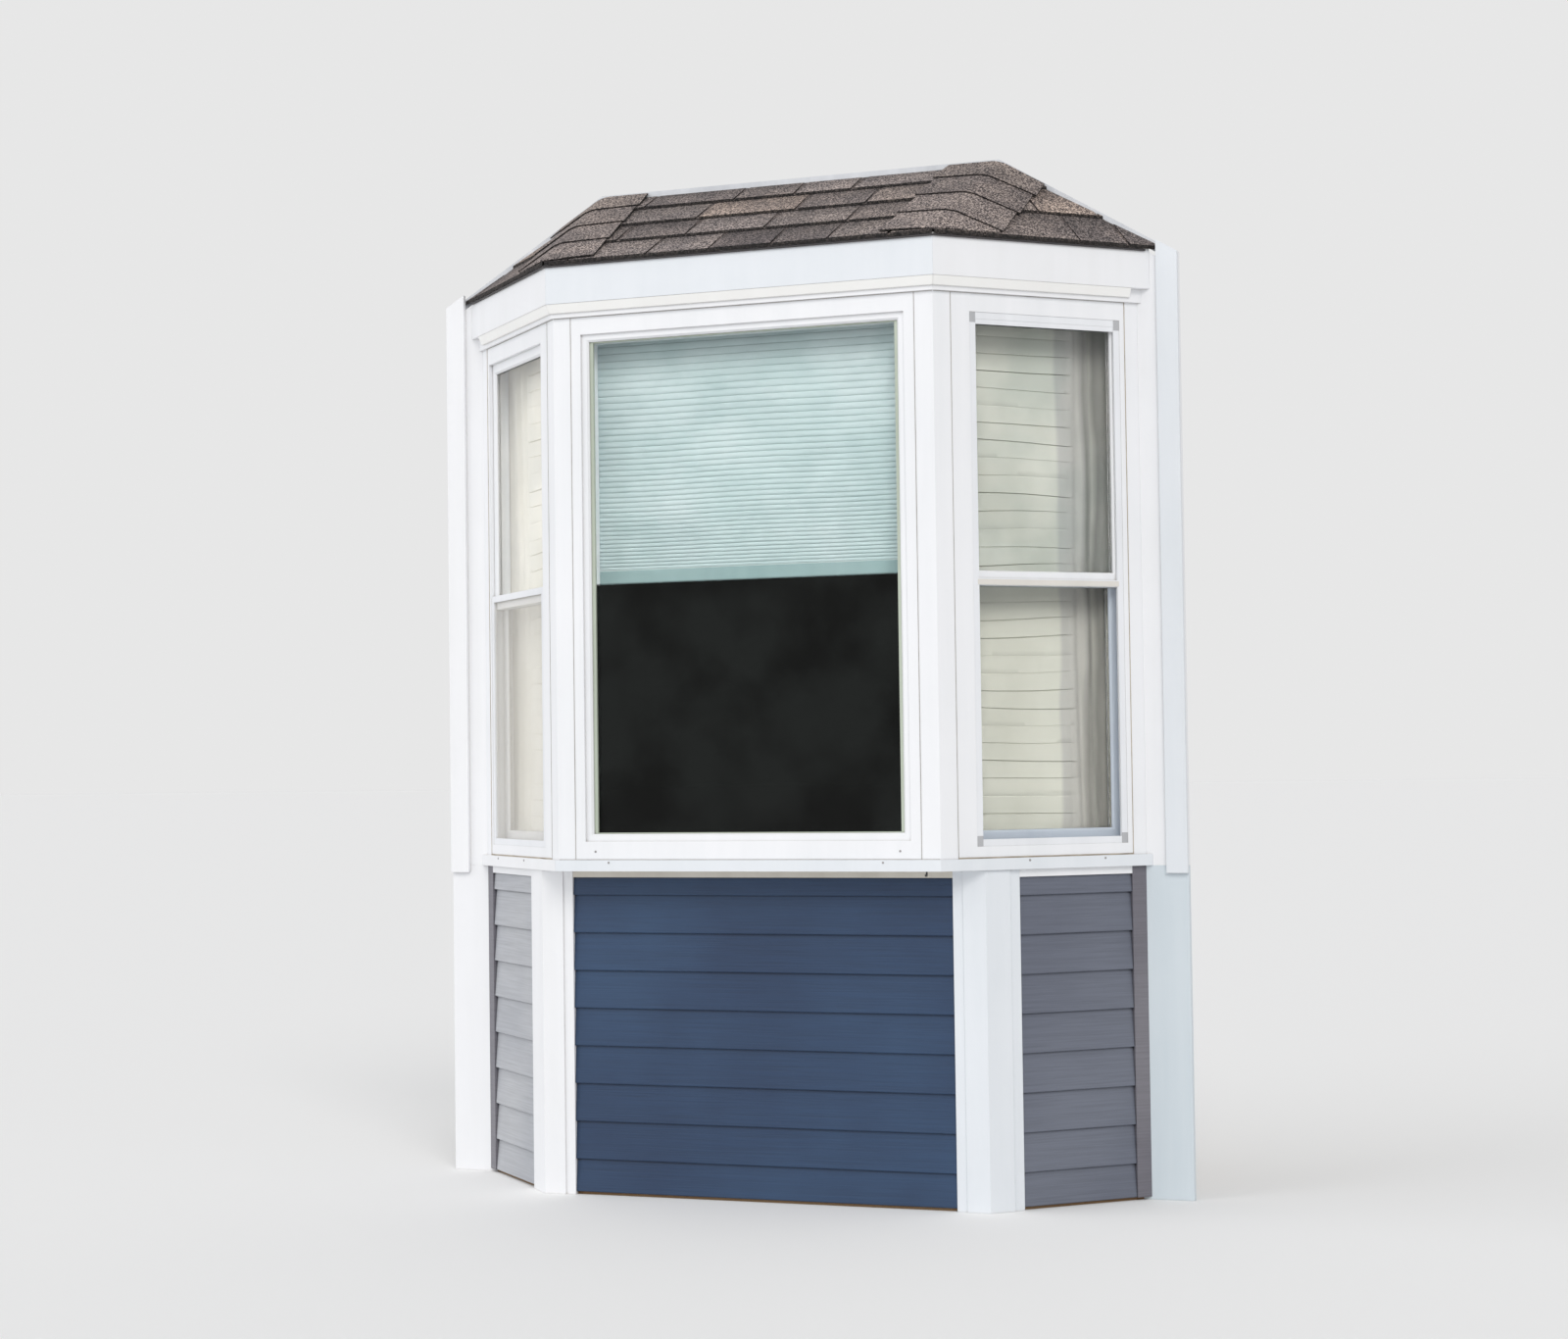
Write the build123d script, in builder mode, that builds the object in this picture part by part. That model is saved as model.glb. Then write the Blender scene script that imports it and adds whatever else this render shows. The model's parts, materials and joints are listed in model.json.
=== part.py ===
"""A walk-in bay window: a picture window between two double-hung flankers, under a hip roof and on a sided base.

Millimetres. X runs along the house wall, Y into it and Z up. The origin is on the ground, in the middle of
the bay's width and depth. The front faces -Y, and everything is cut off at the wall plane behind.
"""
from build123d import *
from math import ceil, cos, hypot, radians, sin, tan
import os

# Plan of the bay
FRONT_WIDTH = 1074.0  # picture window face, from fold to fold
FLANK_ANGLE = 45.0  # turn of each flanker away from the picture window
BASE_RECESS = 90.0  # the front of the base lies this far behind the window above it

# Heights above the ground
SEAT_LOW = 875.0
SEAT_THICK = 30.0
WINDOW_TALL = 1458.0  # clear height between the seat board and the head board
HEAD_THICK = 30.0
PLATE_TALL = 38.0

# Trim outside the window
BAND_PROUD = 12.0
FRIEZE_PROUD = 8.0
FRIEZE_TALL = 36.0
FASCIA_PROUD = 25.0
FASCIA_TALL = 109.0
BOARD_WIDE = 140.0  # trim boards on the house wall
BOARD_THICK = 19.0
STRIP_WIDE = 57.0  # outer strip lapped over the upper wall board
STRIP_THICK = 12.0
STRIP_LAP = 20.0  # the strip runs this far down over the lower board
BOARD_REACH = 93.0  # outer edge of the boards beyond the flanker line

# Window frames and sashes
FRAME_DEPTH = 70.0
POST_FACE = 51.0  # post on each side of a fold
CENTRE_JAMB = 49.0
CENTRE_SILL = 69.0
CENTRE_HEAD = 68.0
BEAD_WIDE = 20.0  # stepped glazing bead inside the picture frame
BEAD_STEP = 7.0
GLASS_THICK = 16.0
CENTRE_GLASS_BACK = 24.0  # from the window face to the picture glass
JAMB_FACE = 49.0  # flanker jamb next to the post
SASH_WIDE = 460.0
END_JAMB = 76.4  # rest of the flanker, from the sash to the wall plane
SASH_THICK = 26.0
SASH_STILE = 29.0
SASH_TOP_RAIL = 35.0
MEETING_RAIL = 38.0
SASH_BOTTOM_RAIL = 46.0
SASH_SETBACK = 11.0  # from the flanker face to the upper sash
UPPER_SASH_TALL = 712.0
FLANK_SILL = 25.0
FLANK_HEAD = 43.0
STOP_LIP = 6.0  # blind stop in front of the sashes
SCREEN_RAIL = 18.0
SCREEN_THICK = 8.0
SCREEN_SETBACK = 1.5
FIT = 0.3  # clearance between pieces that slide or drop into place
BEAD_CHAMFER = 5.0

# Hangings inside
SHADE_DROP = 720.0  # how far the shade is let down
SHADE_GAP = 14.0  # between the back of the picture frame and the pleats
PLEAT_PITCH = 19.0
PLEAT_DEPTH = 12.0
SHADE_CLOTH = 3.0
SHADE_RAIL_DEPTH = 24.0
SHADE_HEAD_TALL = 30.0
SHADE_FOOT_TALL = 16.0
CURTAIN_GAP = 12.0
CURTAIN_SHORT = 60.0  # the curtain is this much narrower than the sash
CURTAIN_WAVES = 9
CURTAIN_SWING = 7.0
CURTAIN_CLOTH = 4.0
CURTAIN_CLEAR = 20.0  # above the seat board

# Base
SHEATHING_BACK = 16.0  # from the siding line to the framed wall behind it
BASE_WALL = 100.0
COURSE = 101.6  # siding exposure
TOP_COURSE = 48.0  # what shows of the highest course, under the channel
BUTT_OUT = 12.0
LAP_OUT = 4.0
BUTT_ROLL = 3.0  # radius of the rolled lower edge
SIDING_LOW = 8.0
CHANNEL_TALL = 20.0
CHANNEL_OUT = 15.0
END_CHANNEL_WIDE = 28.0
POST_FRONT = 90.0  # base corner post, its front leaf
POST_SIDE = 100.0
POST_PROUD = 4.0
LIP_WIDE = 28.0
LIP_DROP = 4.0

# Roof
EAVE_OUT = 33.0  # shingle edge beyond the window face
ROOF_RISE = 267.0  # from the eave to the wall
RIDGE_HALF = 590.0
DECK_RISE = 14.0  # deck thickness, measured straight up
EXPOSURE = 143.0  # of one shingle course, up the slope
BUTT_RISE = 9.0
LAP_RISE = 3.0
CAP_WIDE = 150.0  # each leg of a hip cap
CAP_BUTT = 7.0  # thickness at its lower edge
CAP_LAP = 3.0
RAFTER_WIDE = 38.0
RAFTER_DEPTH = 89.0
RAFTER_SPACING = 350.0
LEDGER_THICK = 38.0
LEDGER_SETBACK = 6.0  # from the end of the ridge
FLASHING_TALL = 12.0
FLASHING_THICK = 3.0
CASING_LIFT = 18.0  # top of the wall boards above the deck's line

# Worked out from the sizes above
ANGLE = radians(FLANK_ANGLE)
SASH_START = POST_FACE + JAMB_FACE
SASH_END = SASH_START + SASH_WIDE
FLANK_LENGTH = SASH_END + END_JAMB
PROJECTION = FLANK_LENGTH * sin(ANGLE)  # from the wall plane to the face of the picture window
HALF_FRONT = FRONT_WIDTH / 2
HALF_WALL = HALF_FRONT + PROJECTION / tan(ANGLE)
WALL_Y = (PROJECTION + EAVE_OUT) / 2
SEAT_TOP = SEAT_LOW + SEAT_THICK
WINDOW_TOP = SEAT_TOP + WINDOW_TALL
HEAD_TOP = WINDOW_TOP + HEAD_THICK
PLATE_TOP = HEAD_TOP + PLATE_TALL
FASCIA_LOW = WINDOW_TOP + FRIEZE_TALL
FASCIA_TOP = FASCIA_LOW + FASCIA_TALL
BOARD_OUT = HALF_WALL + BOARD_REACH
BOARD_IN = BOARD_OUT - BOARD_WIDE
SASH_LOW = SEAT_TOP + FLANK_SILL
SASH_HIGH = WINDOW_TOP - FLANK_HEAD
MEETING_LOW = SASH_HIGH - UPPER_SASH_TALL
MEETING_TOP = MEETING_LOW + MEETING_RAIL
LOWER_SETBACK = SASH_SETBACK + SASH_THICK + 2 * FIT
BASE_OUT = -BASE_RECESS
CHANNEL_LOW = SEAT_LOW - CHANNEL_TALL
FIRST_BUTT = CHANNEL_LOW - TOP_COURSE
FRONT_RUN = PROJECTION + EAVE_OUT
EAVE_LOW = FASCIA_TOP - (EAVE_OUT - FASCIA_PROUD) * ROOF_RISE / FRONT_RUN - DECK_RISE  # deck's underside at the eave
RIDGE_LOW = EAVE_LOW + ROOF_RISE


def corner(front_out, side_out):
    """Where the front line standing `front_out` proud meets the side line standing `side_out` proud."""
    depth = PROJECTION + front_out
    return HALF_WALL + side_out / sin(ANGLE) - depth / tan(ANGLE), WALL_Y - depth


def fold(out):
    """Plan corner of the outline that stands `out` proud of the window faces."""
    return corner(out, out)


def at_wall(out, depth=0.0):
    """Plan point where the flank line `out` proud is `depth` in front of the wall plane."""
    return HALF_WALL + out / sin(ANGLE) - depth / tan(ANGLE), WALL_Y - depth


def along(point, distance):
    """A plan point moved along the right flank, towards the wall."""
    return point[0] + distance * cos(ANGLE), point[1] + distance * sin(ANGLE)


def flip(point):
    return -point[0], point[1]


def plan_block(points, low, high, mode=Mode.ADD):
    """An upright block over a plan outline, in the part that is being built."""
    with BuildSketch(Plane.XY.offset(low)) as sketch:
        Polygon(*points, align=None)
    extrude(sketch.sketch, amount=high - low, mode=mode)


def front_strip(inner, outer, low, high):
    points = [flip(fold(inner)), fold(inner), fold(outer), flip(fold(outer))]
    plan_block(points, low, high)


def side_strip(inner, outer, low, high, depth):
    points = [fold(inner), at_wall(inner, depth), at_wall(outer, depth), fold(outer)]
    plan_block(points, low, high)


def box_between(low, high, mode=Mode.ADD):
    """A box from its lowest to its highest corner."""
    size = [high[i] - low[i] for i in range(3)]
    middle = [(high[i] + low[i]) / 2 for i in range(3)]
    with Locations(tuple(middle)):
        Box(*size, mode=mode)


def panel(left, right, low, high, mode=Mode.ADD):
    """A rectangle on a window face, given by its edges."""
    with Locations(((left + right) / 2, (low + high) / 2)):
        Rectangle(right - left, high - low, mode=mode)


def trim_to_wall():
    """Cut the piece off at the wall plane, and clear the trim board that stands on the wall."""
    reach = 4 * HALF_WALL
    box_between((-reach, WALL_Y, -1), (reach, WALL_Y + reach, 2 * RIDGE_LOW), Mode.SUBTRACT)
    box_between((BOARD_IN, WALL_Y - BOARD_THICK, -1), (reach, WALL_Y, 2 * RIDGE_LOW), Mode.SUBTRACT)


front_face = Plane(origin=(0, WALL_Y - PROJECTION, 0), x_dir=(1, 0, 0), z_dir=(0, -1, 0))
flank_face = Plane(
    origin=(HALF_FRONT, WALL_Y - PROJECTION, 0),
    x_dir=(cos(ANGLE), sin(ANGLE), 0),
    z_dir=(sin(ANGLE), -cos(ANGLE), 0),
)

# Seat board and head board: plates that follow the plan from the wall to the window faces
bay_outline = [flip(at_wall(0)), at_wall(0), fold(0), flip(fold(0))]

with BuildPart() as seat_board:
    plan_block(bay_outline, SEAT_LOW, SEAT_TOP)
    for side in (1, -1):
        reach = sorted((side * BOARD_IN, side * 2 * HALF_WALL))
        box_between((reach[0], WALL_Y - BOARD_THICK, 0), (reach[1], WALL_Y, RIDGE_LOW), Mode.SUBTRACT)

with BuildPart() as head_board:
    plan_block(bay_outline, WINDOW_TOP, HEAD_TOP)
    for side in (1, -1):
        reach = sorted((side * BOARD_IN, side * 2 * HALF_WALL))
        box_between((reach[0], WALL_Y - BOARD_THICK, 0), (reach[1], WALL_Y, RIDGE_LOW), Mode.SUBTRACT)

# Roof plate: flat boards on the head board, under the rafter feet
with BuildPart() as roof_plate:
    outer = [fold(0), flip(fold(0)), flip(at_wall(0, BOARD_THICK)), flip(at_wall(-RAFTER_DEPTH, BOARD_THICK))]
    inner = [flip(fold(-RAFTER_DEPTH)), fold(-RAFTER_DEPTH), at_wall(-RAFTER_DEPTH, BOARD_THICK)]
    plan_block(outer + inner + [at_wall(0, BOARD_THICK)], HEAD_TOP, PLATE_TOP)

# Bands of trim round the window: seat band, frieze and fascia, mitred at the folds
with BuildPart() as seat_band_front:
    front_strip(0, BAND_PROUD, SEAT_LOW, SEAT_TOP)

with BuildPart() as seat_band:
    side_strip(0, BAND_PROUD, SEAT_LOW, SEAT_TOP, BOARD_THICK)

with BuildPart() as frieze_front:
    front_strip(0, FRIEZE_PROUD, WINDOW_TOP, FASCIA_LOW)

with BuildPart() as frieze:
    side_strip(0, FRIEZE_PROUD, WINDOW_TOP, FASCIA_LOW, BOARD_THICK)

with BuildPart() as fascia_front:
    front_strip(0, FASCIA_PROUD, FASCIA_LOW, FASCIA_TOP)

with BuildPart() as fascia:
    side_strip(0, FASCIA_PROUD, FASCIA_LOW, FASCIA_TOP, BOARD_THICK)

# Post at each fold, between the picture window and a flanker
with BuildPart() as corner_post:
    front_edge = (HALF_FRONT - POST_FACE, WALL_Y - PROJECTION)
    front_back = (HALF_FRONT - POST_FACE, WALL_Y - PROJECTION + FRAME_DEPTH)
    side_edge = along(fold(0), POST_FACE)
    side_back = (side_edge[0] - FRAME_DEPTH * sin(ANGLE), side_edge[1] + FRAME_DEPTH * cos(ANGLE))
    post_points = [front_edge, fold(0), side_edge, side_back, fold(-FRAME_DEPTH), front_back]
    plan_block(post_points, SEAT_TOP, WINDOW_TOP)

# Picture window
CENTRE_HALF = HALF_FRONT - POST_FACE
GLASS_HALF = CENTRE_HALF - CENTRE_JAMB
GLASS_LOW = SEAT_TOP + CENTRE_SILL
GLASS_HIGH = WINDOW_TOP - CENTRE_HEAD

with BuildPart() as centre_frame:
    with BuildSketch(front_face):
        panel(-CENTRE_HALF, CENTRE_HALF, SEAT_TOP, WINDOW_TOP)
        panel(-GLASS_HALF, GLASS_HALF, GLASS_LOW, GLASS_HIGH, Mode.SUBTRACT)
    extrude(amount=-FRAME_DEPTH)
    with BuildSketch(front_face):
        panel(-GLASS_HALF - BEAD_WIDE, GLASS_HALF + BEAD_WIDE, GLASS_LOW - BEAD_WIDE, GLASS_HIGH + BEAD_WIDE)
    extrude(amount=-BEAD_STEP, mode=Mode.SUBTRACT)
    bead_plane = front_face.offset(-BEAD_STEP)
    bead_edges = edges().filter_by_position(Axis.Y, bead_plane.origin.Y - 0.01, bead_plane.origin.Y + 0.01)
    inner_edges = [
        edge
        for edge in bead_edges
        if abs(edge.center().X) < GLASS_HALF + 0.01 and GLASS_LOW - 0.01 < edge.center().Z < GLASS_HIGH + 0.01
    ]
    chamfer(inner_edges, length=BEAD_CHAMFER)

with BuildPart() as centre_glass:
    with BuildSketch(front_face.offset(-CENTRE_GLASS_BACK)):
        panel(-GLASS_HALF, GLASS_HALF, GLASS_LOW, GLASS_HIGH)
    extrude(amount=-GLASS_THICK)

# Flanker frame: a ring with a blind stop, cut off where it meets the wall
with BuildPart() as frame:
    with BuildSketch(flank_face):
        panel(POST_FACE, 2 * FLANK_LENGTH, SEAT_TOP, WINDOW_TOP)
        panel(SASH_START + STOP_LIP, SASH_END - STOP_LIP, SASH_LOW + STOP_LIP, SASH_HIGH - STOP_LIP, Mode.SUBTRACT)
    extrude(amount=-FRAME_DEPTH)
    with BuildSketch(flank_face.offset(-SASH_SETBACK + FIT)):
        panel(SASH_START - FIT, SASH_END + FIT, SASH_LOW - FIT, SASH_HIGH + FIT)
    extrude(amount=-FRAME_DEPTH, mode=Mode.SUBTRACT)
    trim_to_wall()


def sash_ring(low, high, bottom_rail, top_rail, setback):
    """One sash: a rectangular ring with its outer glazing edge chamfered."""
    face = flank_face.offset(-setback)
    with BuildSketch(face) as ring:
        panel(SASH_START, SASH_END, low, high)
        panel(SASH_START + SASH_STILE, SASH_END - SASH_STILE, low + bottom_rail, high - top_rail, Mode.SUBTRACT)
    extrude(ring.sketch, amount=-SASH_THICK)
    outer_edges = edges().filter_by(lambda edge: abs(face.to_local_coords(edge.center()).Z) < FIT)
    glazing = []
    for edge in outer_edges:
        place = face.to_local_coords(edge.center())
        inside_s = SASH_START + FIT < place.X < SASH_END - FIT
        inside_z = low + FIT < place.Y < high - FIT
        if inside_s and inside_z:
            glazing.append(edge)
    chamfer(glazing, length=BEAD_CHAMFER)


def pane(low, high, setback):
    """The glass of one sash, edge to edge in its opening."""
    middle = setback + (SASH_THICK + BEAD_CHAMFER - GLASS_THICK) / 2
    with BuildSketch(flank_face.offset(-middle)) as opening:
        panel(SASH_START + SASH_STILE, SASH_END - SASH_STILE, low, high)
    extrude(opening.sketch, amount=-GLASS_THICK)


with BuildPart() as upper_sash:
    sash_ring(MEETING_LOW, SASH_HIGH, MEETING_RAIL, SASH_TOP_RAIL, SASH_SETBACK)

with BuildPart() as lower_sash:
    sash_ring(SASH_LOW, MEETING_TOP, SASH_BOTTOM_RAIL, MEETING_RAIL, LOWER_SETBACK)

with BuildPart() as glass:
    pane(MEETING_TOP, SASH_HIGH - SASH_TOP_RAIL, SASH_SETBACK)
    pane(SASH_LOW + SASH_BOTTOM_RAIL, MEETING_LOW, LOWER_SETBACK)

# Screens in front of the sashes: full height on the right, the lower half on the left
SCREEN_START = SASH_START + STOP_LIP
SCREEN_END = SASH_END - STOP_LIP
SCREEN_LOW = SASH_LOW + STOP_LIP
SCREEN_HIGH = SASH_HIGH - STOP_LIP
screen_face = flank_face.offset(-SCREEN_SETBACK)

with BuildPart() as right_screen:
    with BuildSketch(screen_face):
        panel(SCREEN_START, SCREEN_END, SCREEN_LOW, SCREEN_HIGH)
        inner_left = SCREEN_START + SCREEN_RAIL
        inner_right = SCREEN_END - SCREEN_RAIL
        panel(inner_left, inner_right, SCREEN_LOW + SCREEN_RAIL, MEETING_LOW, Mode.SUBTRACT)
        panel(inner_left, inner_right, MEETING_LOW + SCREEN_RAIL, SCREEN_HIGH - SCREEN_RAIL, Mode.SUBTRACT)
    extrude(amount=-SCREEN_THICK)

with BuildPart() as half_screen:
    with BuildSketch(screen_face):
        panel(SCREEN_START, SCREEN_END, SCREEN_LOW, MEETING_TOP)
        panel(inner_left, inner_right, SCREEN_LOW + SCREEN_RAIL, MEETING_TOP - SCREEN_RAIL, Mode.SUBTRACT)
    extrude(amount=-SCREEN_THICK)

# Roof lines. `share` runs from 0 at the eave to 1 at the wall, on the front and the side slopes alike
SIDE_RUN = (at_wall(EAVE_OUT)[0] - RIDGE_HALF) * sin(ANGLE)
hip_foot = fold(EAVE_OUT)
hip_head = (RIDGE_HALF, WALL_Y)
front_roof_plan = [flip(hip_foot), hip_foot, hip_head, flip(hip_head)]
side_roof_plan = [hip_foot, at_wall(EAVE_OUT), hip_head]


def hip_point(share, side_out=0.0):
    """Plan point on the line of the right hip, or beside it."""
    x = hip_foot[0] + (hip_head[0] - hip_foot[0]) * share
    return x + side_out, hip_foot[1] + (hip_head[1] - hip_foot[1]) * share


def roof_height(share):
    """Underside of the roof deck."""
    return EAVE_LOW + ROOF_RISE * share


def roof_layer(points, run, out_dir, mid, mode=Mode.ADD):
    """Extrude a slope's profile, given as pairs of share and lift, sideways across the whole slope."""
    section = Plane(origin=(mid[0], mid[1], 0), x_dir=(-out_dir[0], -out_dir[1], 0), z_dir=(-out_dir[1], out_dir[0], 0))
    outline = [(share * run, roof_height(share) + lift) for share, lift in points]
    with BuildSketch(section) as profile:
        Polygon(*outline, align=None)
    extrude(profile.sketch, amount=2 * HALF_WALL, both=True, mode=mode)


def keep_over(points):
    """Keep only what lies over a plan outline, and leave room for the flashing at the wall."""
    with BuildSketch(Plane.XY) as plan:
        Polygon(*points, align=None)
    extrude(plan.sketch, amount=2 * RIDGE_LOW, mode=Mode.INTERSECT)
    reach = 2 * HALF_WALL
    box_between((-reach, WALL_Y - FLASHING_THICK, 0), (reach, WALL_Y + FLASHING_THICK, 2 * RIDGE_LOW), Mode.SUBTRACT)


def shingle_profile(run):
    """Courses laid up a slope from the eave, each one thick at its butt and thin where the next one starts."""
    length = hypot(run, ROOF_RISE)
    points = [(1, DECK_RISE), (0, DECK_RISE)]
    for course in range(ceil(length / EXPOSURE)):
        shown = min(EXPOSURE, length - course * EXPOSURE)
        top_rise = BUTT_RISE - (BUTT_RISE - LAP_RISE) * shown / EXPOSURE
        points.append((course * EXPOSURE / length, DECK_RISE + BUTT_RISE))
        points.append(((course * EXPOSURE + shown) / length, DECK_RISE + top_rise))
    return points


front_dir = (0.0, -1.0)
side_dir = (sin(ANGLE), -cos(ANGLE))
eave_middle = (0.0, WALL_Y - FRONT_RUN)
deck_profile = [(0, 0), (1, 0), (1, DECK_RISE), (0, DECK_RISE)]

# The deck ends over the window faces; the shingles run on over the fascia
deck_corner = hip_point(EAVE_OUT / SIDE_RUN)
with BuildPart() as roof_deck_front:
    roof_layer(deck_profile, FRONT_RUN, front_dir, eave_middle)
    keep_over([flip(fold(0)), fold(0), deck_corner, hip_head, flip(hip_head), flip(deck_corner)])

with BuildPart() as roof_deck:
    roof_layer(deck_profile, SIDE_RUN, side_dir, hip_foot)
    keep_over([deck_corner, at_wall(0), hip_head])

with BuildPart() as shingles_front:
    roof_layer(shingle_profile(FRONT_RUN), FRONT_RUN, front_dir, eave_middle)
    keep_over(front_roof_plan)

with BuildPart() as shingles:
    roof_layer(shingle_profile(SIDE_RUN), SIDE_RUN, side_dir, hip_foot)
    keep_over(side_roof_plan)

# Hip caps: shingles folded over the hip, each one lofted from its thick lower edge to its thin upper one
hip_start = Vector(hip_foot[0], hip_foot[1], EAVE_LOW + DECK_RISE + BUTT_RISE)
hip_end = Vector(hip_head[0], hip_head[1], RIDGE_LOW + DECK_RISE + BUTT_RISE)
hip_way = (hip_end - hip_start).normalized()
front_normal = Vector(0, -ROOF_RISE, FRONT_RUN).normalized()
side_normal = Vector(side_dir[0] * ROOF_RISE, side_dir[1] * ROOF_RISE, SIDE_RUN).normalized()
front_leg = hip_way.cross(front_normal) * -CAP_WIDE
side_leg = hip_way.cross(side_normal) * CAP_WIDE


def cap_section(distance, thick):
    """Outline of a folded cap, square to the hip, `distance` up it."""
    base = hip_start + hip_way * distance
    section = Plane(origin=base, x_dir=side_leg, z_dir=hip_way)
    peak = (front_normal + side_normal) * (thick / (1 + front_normal.dot(side_normal)))
    points = [front_leg, Vector(0, 0, 0), side_leg]
    points += [side_leg + side_normal * thick, peak, front_leg + front_normal * thick]
    with BuildSketch(section) as outline:
        Polygon(*[tuple(section.to_local_coords(base + point))[:2] for point in points], align=None)
    return outline.sketch


with BuildPart() as hip_caps:
    for cap in range(ceil((hip_end - hip_start).length / EXPOSURE)):
        low_section = cap_section(cap * EXPOSURE, CAP_BUTT)
        high_section = cap_section((cap + 1) * EXPOSURE, CAP_LAP)
        loft([low_section, high_section], ruled=True)
    keep_over([(0, hip_foot[1]), hip_foot, at_wall(EAVE_OUT), (0, WALL_Y)])

# Flashing: one bent strip against the wall, along the top and down both slanted sides
FLASHING_FOOT = at_wall(EAVE_OUT)[0]
with BuildPart() as wall_flashing:
    lift = DECK_RISE + LAP_RISE
    with BuildSketch(Plane(origin=(0, WALL_Y, 0), x_dir=(1, 0, 0), z_dir=(0, -1, 0))):
        low_line = [(FLASHING_FOOT, roof_height(0)), (RIDGE_HALF, roof_height(1))]
        high_line = [(x, z + lift + FLASHING_TALL) for x, z in low_line]
        right_edge = low_line[::-1] + high_line
        left_edge = [flip(point) for point in reversed(right_edge)]
        Polygon(*(right_edge + left_edge), align=None)
    extrude(amount=FLASHING_THICK)


def front_share(depth):
    """How far up the front slope a point `depth` in front of the wall lies."""
    return (FRONT_RUN - depth) / FRONT_RUN


# Roof framing: a ledger on the wall, common rafters in front, and a hip and a jack rafter each side
LEDGER_TOP = roof_height(front_share(LEDGER_THICK))
with BuildPart() as roof_ledger:
    with BuildSketch(Plane.YZ) as ledger_section:
        back = WALL_Y - FLASHING_THICK
        points = [
            (back, LEDGER_TOP - RAFTER_DEPTH),
            (back, roof_height(front_share(FLASHING_THICK))),
            (WALL_Y - LEDGER_THICK, LEDGER_TOP),
            (WALL_Y - LEDGER_THICK, LEDGER_TOP - RAFTER_DEPTH),
        ]
        Polygon(*points, align=None)
    extrude(ledger_section.sketch, amount=RIDGE_HALF - LEDGER_SETBACK, both=True)

RAFTER_HALF = RAFTER_WIDE / 2
rafter_profile = [(0, -RAFTER_DEPTH), (1, -RAFTER_DEPTH), (1, 0), (0, 0)]
rafter_limits = [flip(at_wall(-FIT)), at_wall(-FIT), fold(-FIT), flip(fold(-FIT))]

with BuildPart() as hip_rafter:
    head_share = front_share(LEDGER_THICK)
    inner_face = [hip_point(head_share, -RAFTER_HALF), hip_point(0, -RAFTER_HALF)]
    plan_block([hip_point(0, RAFTER_HALF), hip_point(head_share, RAFTER_HALF)] + inner_face, PLATE_TOP, RIDGE_LOW)
    plan_block(rafter_limits, PLATE_TOP, RIDGE_LOW, Mode.INTERSECT)
    roof_layer(rafter_profile, FRONT_RUN, front_dir, eave_middle, Mode.INTERSECT)
    roof_layer(rafter_profile, SIDE_RUN, side_dir, hip_foot, Mode.INTERSECT)

with BuildPart() as jack_rafter:
    jack_foot = along(fold(0), FLANK_LENGTH / 2)
    jack_head = (jack_foot[0] - SIDE_RUN * sin(ANGLE), jack_foot[1] + SIDE_RUN * cos(ANGLE))
    left_face = [along(jack_head, -RAFTER_HALF), along(jack_foot, -RAFTER_HALF)]
    plan_block([along(jack_foot, RAFTER_HALF), along(jack_head, RAFTER_HALF)] + left_face, PLATE_TOP, RIDGE_LOW)
    plan_block(rafter_limits, PLATE_TOP, RIDGE_LOW, Mode.INTERSECT)
    inside_hip = [hip_point(1, RAFTER_HALF), hip_point(0, RAFTER_HALF), (0, hip_foot[1]), (0, WALL_Y)]
    plan_block(inside_hip, PLATE_TOP, RIDGE_LOW, Mode.SUBTRACT)
    roof_layer(rafter_profile, SIDE_RUN, side_dir, hip_foot, Mode.INTERSECT)

with BuildPart() as roof_rafters:
    tail = PROJECTION - FIT
    seat = PROJECTION - RAFTER_DEPTH
    common = [
        (WALL_Y - LEDGER_THICK, LEDGER_TOP),
        (WALL_Y - tail, roof_height(front_share(tail))),
        (WALL_Y - tail, PLATE_TOP),
        (WALL_Y - seat, PLATE_TOP),
        (WALL_Y - LEDGER_THICK, LEDGER_TOP - RAFTER_DEPTH),
    ]
    for place in (-RAFTER_SPACING, 0, RAFTER_SPACING):
        with BuildSketch(Plane.YZ.offset(place)) as rafter_section:
            Polygon(*common, align=None)
        extrude(rafter_section.sketch, amount=RAFTER_HALF, both=True)
    for rafter in (hip_rafter, jack_rafter):
        add(rafter.part)
        mirror(rafter.part, about=Plane.YZ)

# Boards on the house wall: one beside the base, one beside the window and a strip lapped over its outer part


def under_roof(x, depth):
    """Height of the deck's underside on the side slope, over a plan point."""
    share = ((at_wall(EAVE_OUT)[0] - x) * sin(ANGLE) - depth * cos(ANGLE)) / SIDE_RUN
    return roof_height(share)


def casing_height(x):
    """Top of the wall boards beside the roof's foot."""
    return under_roof(x, 0) + DECK_RISE + CASING_LIFT


def wall_board(points, start, thick):
    """An upright board on the wall, given by its outline seen from the front."""
    with BuildSketch(Plane(origin=(0, WALL_Y - start, 0), x_dir=(1, 0, 0), z_dir=(0, -1, 0))) as board:
        Polygon(*points, align=None)
    extrude(board.sketch, amount=thick)


with BuildPart() as base_board:
    wall_board([(BOARD_IN, 0), (BOARD_OUT, 0), (BOARD_OUT, SEAT_LOW), (BOARD_IN, SEAT_LOW)], 0, BOARD_THICK)

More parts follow.
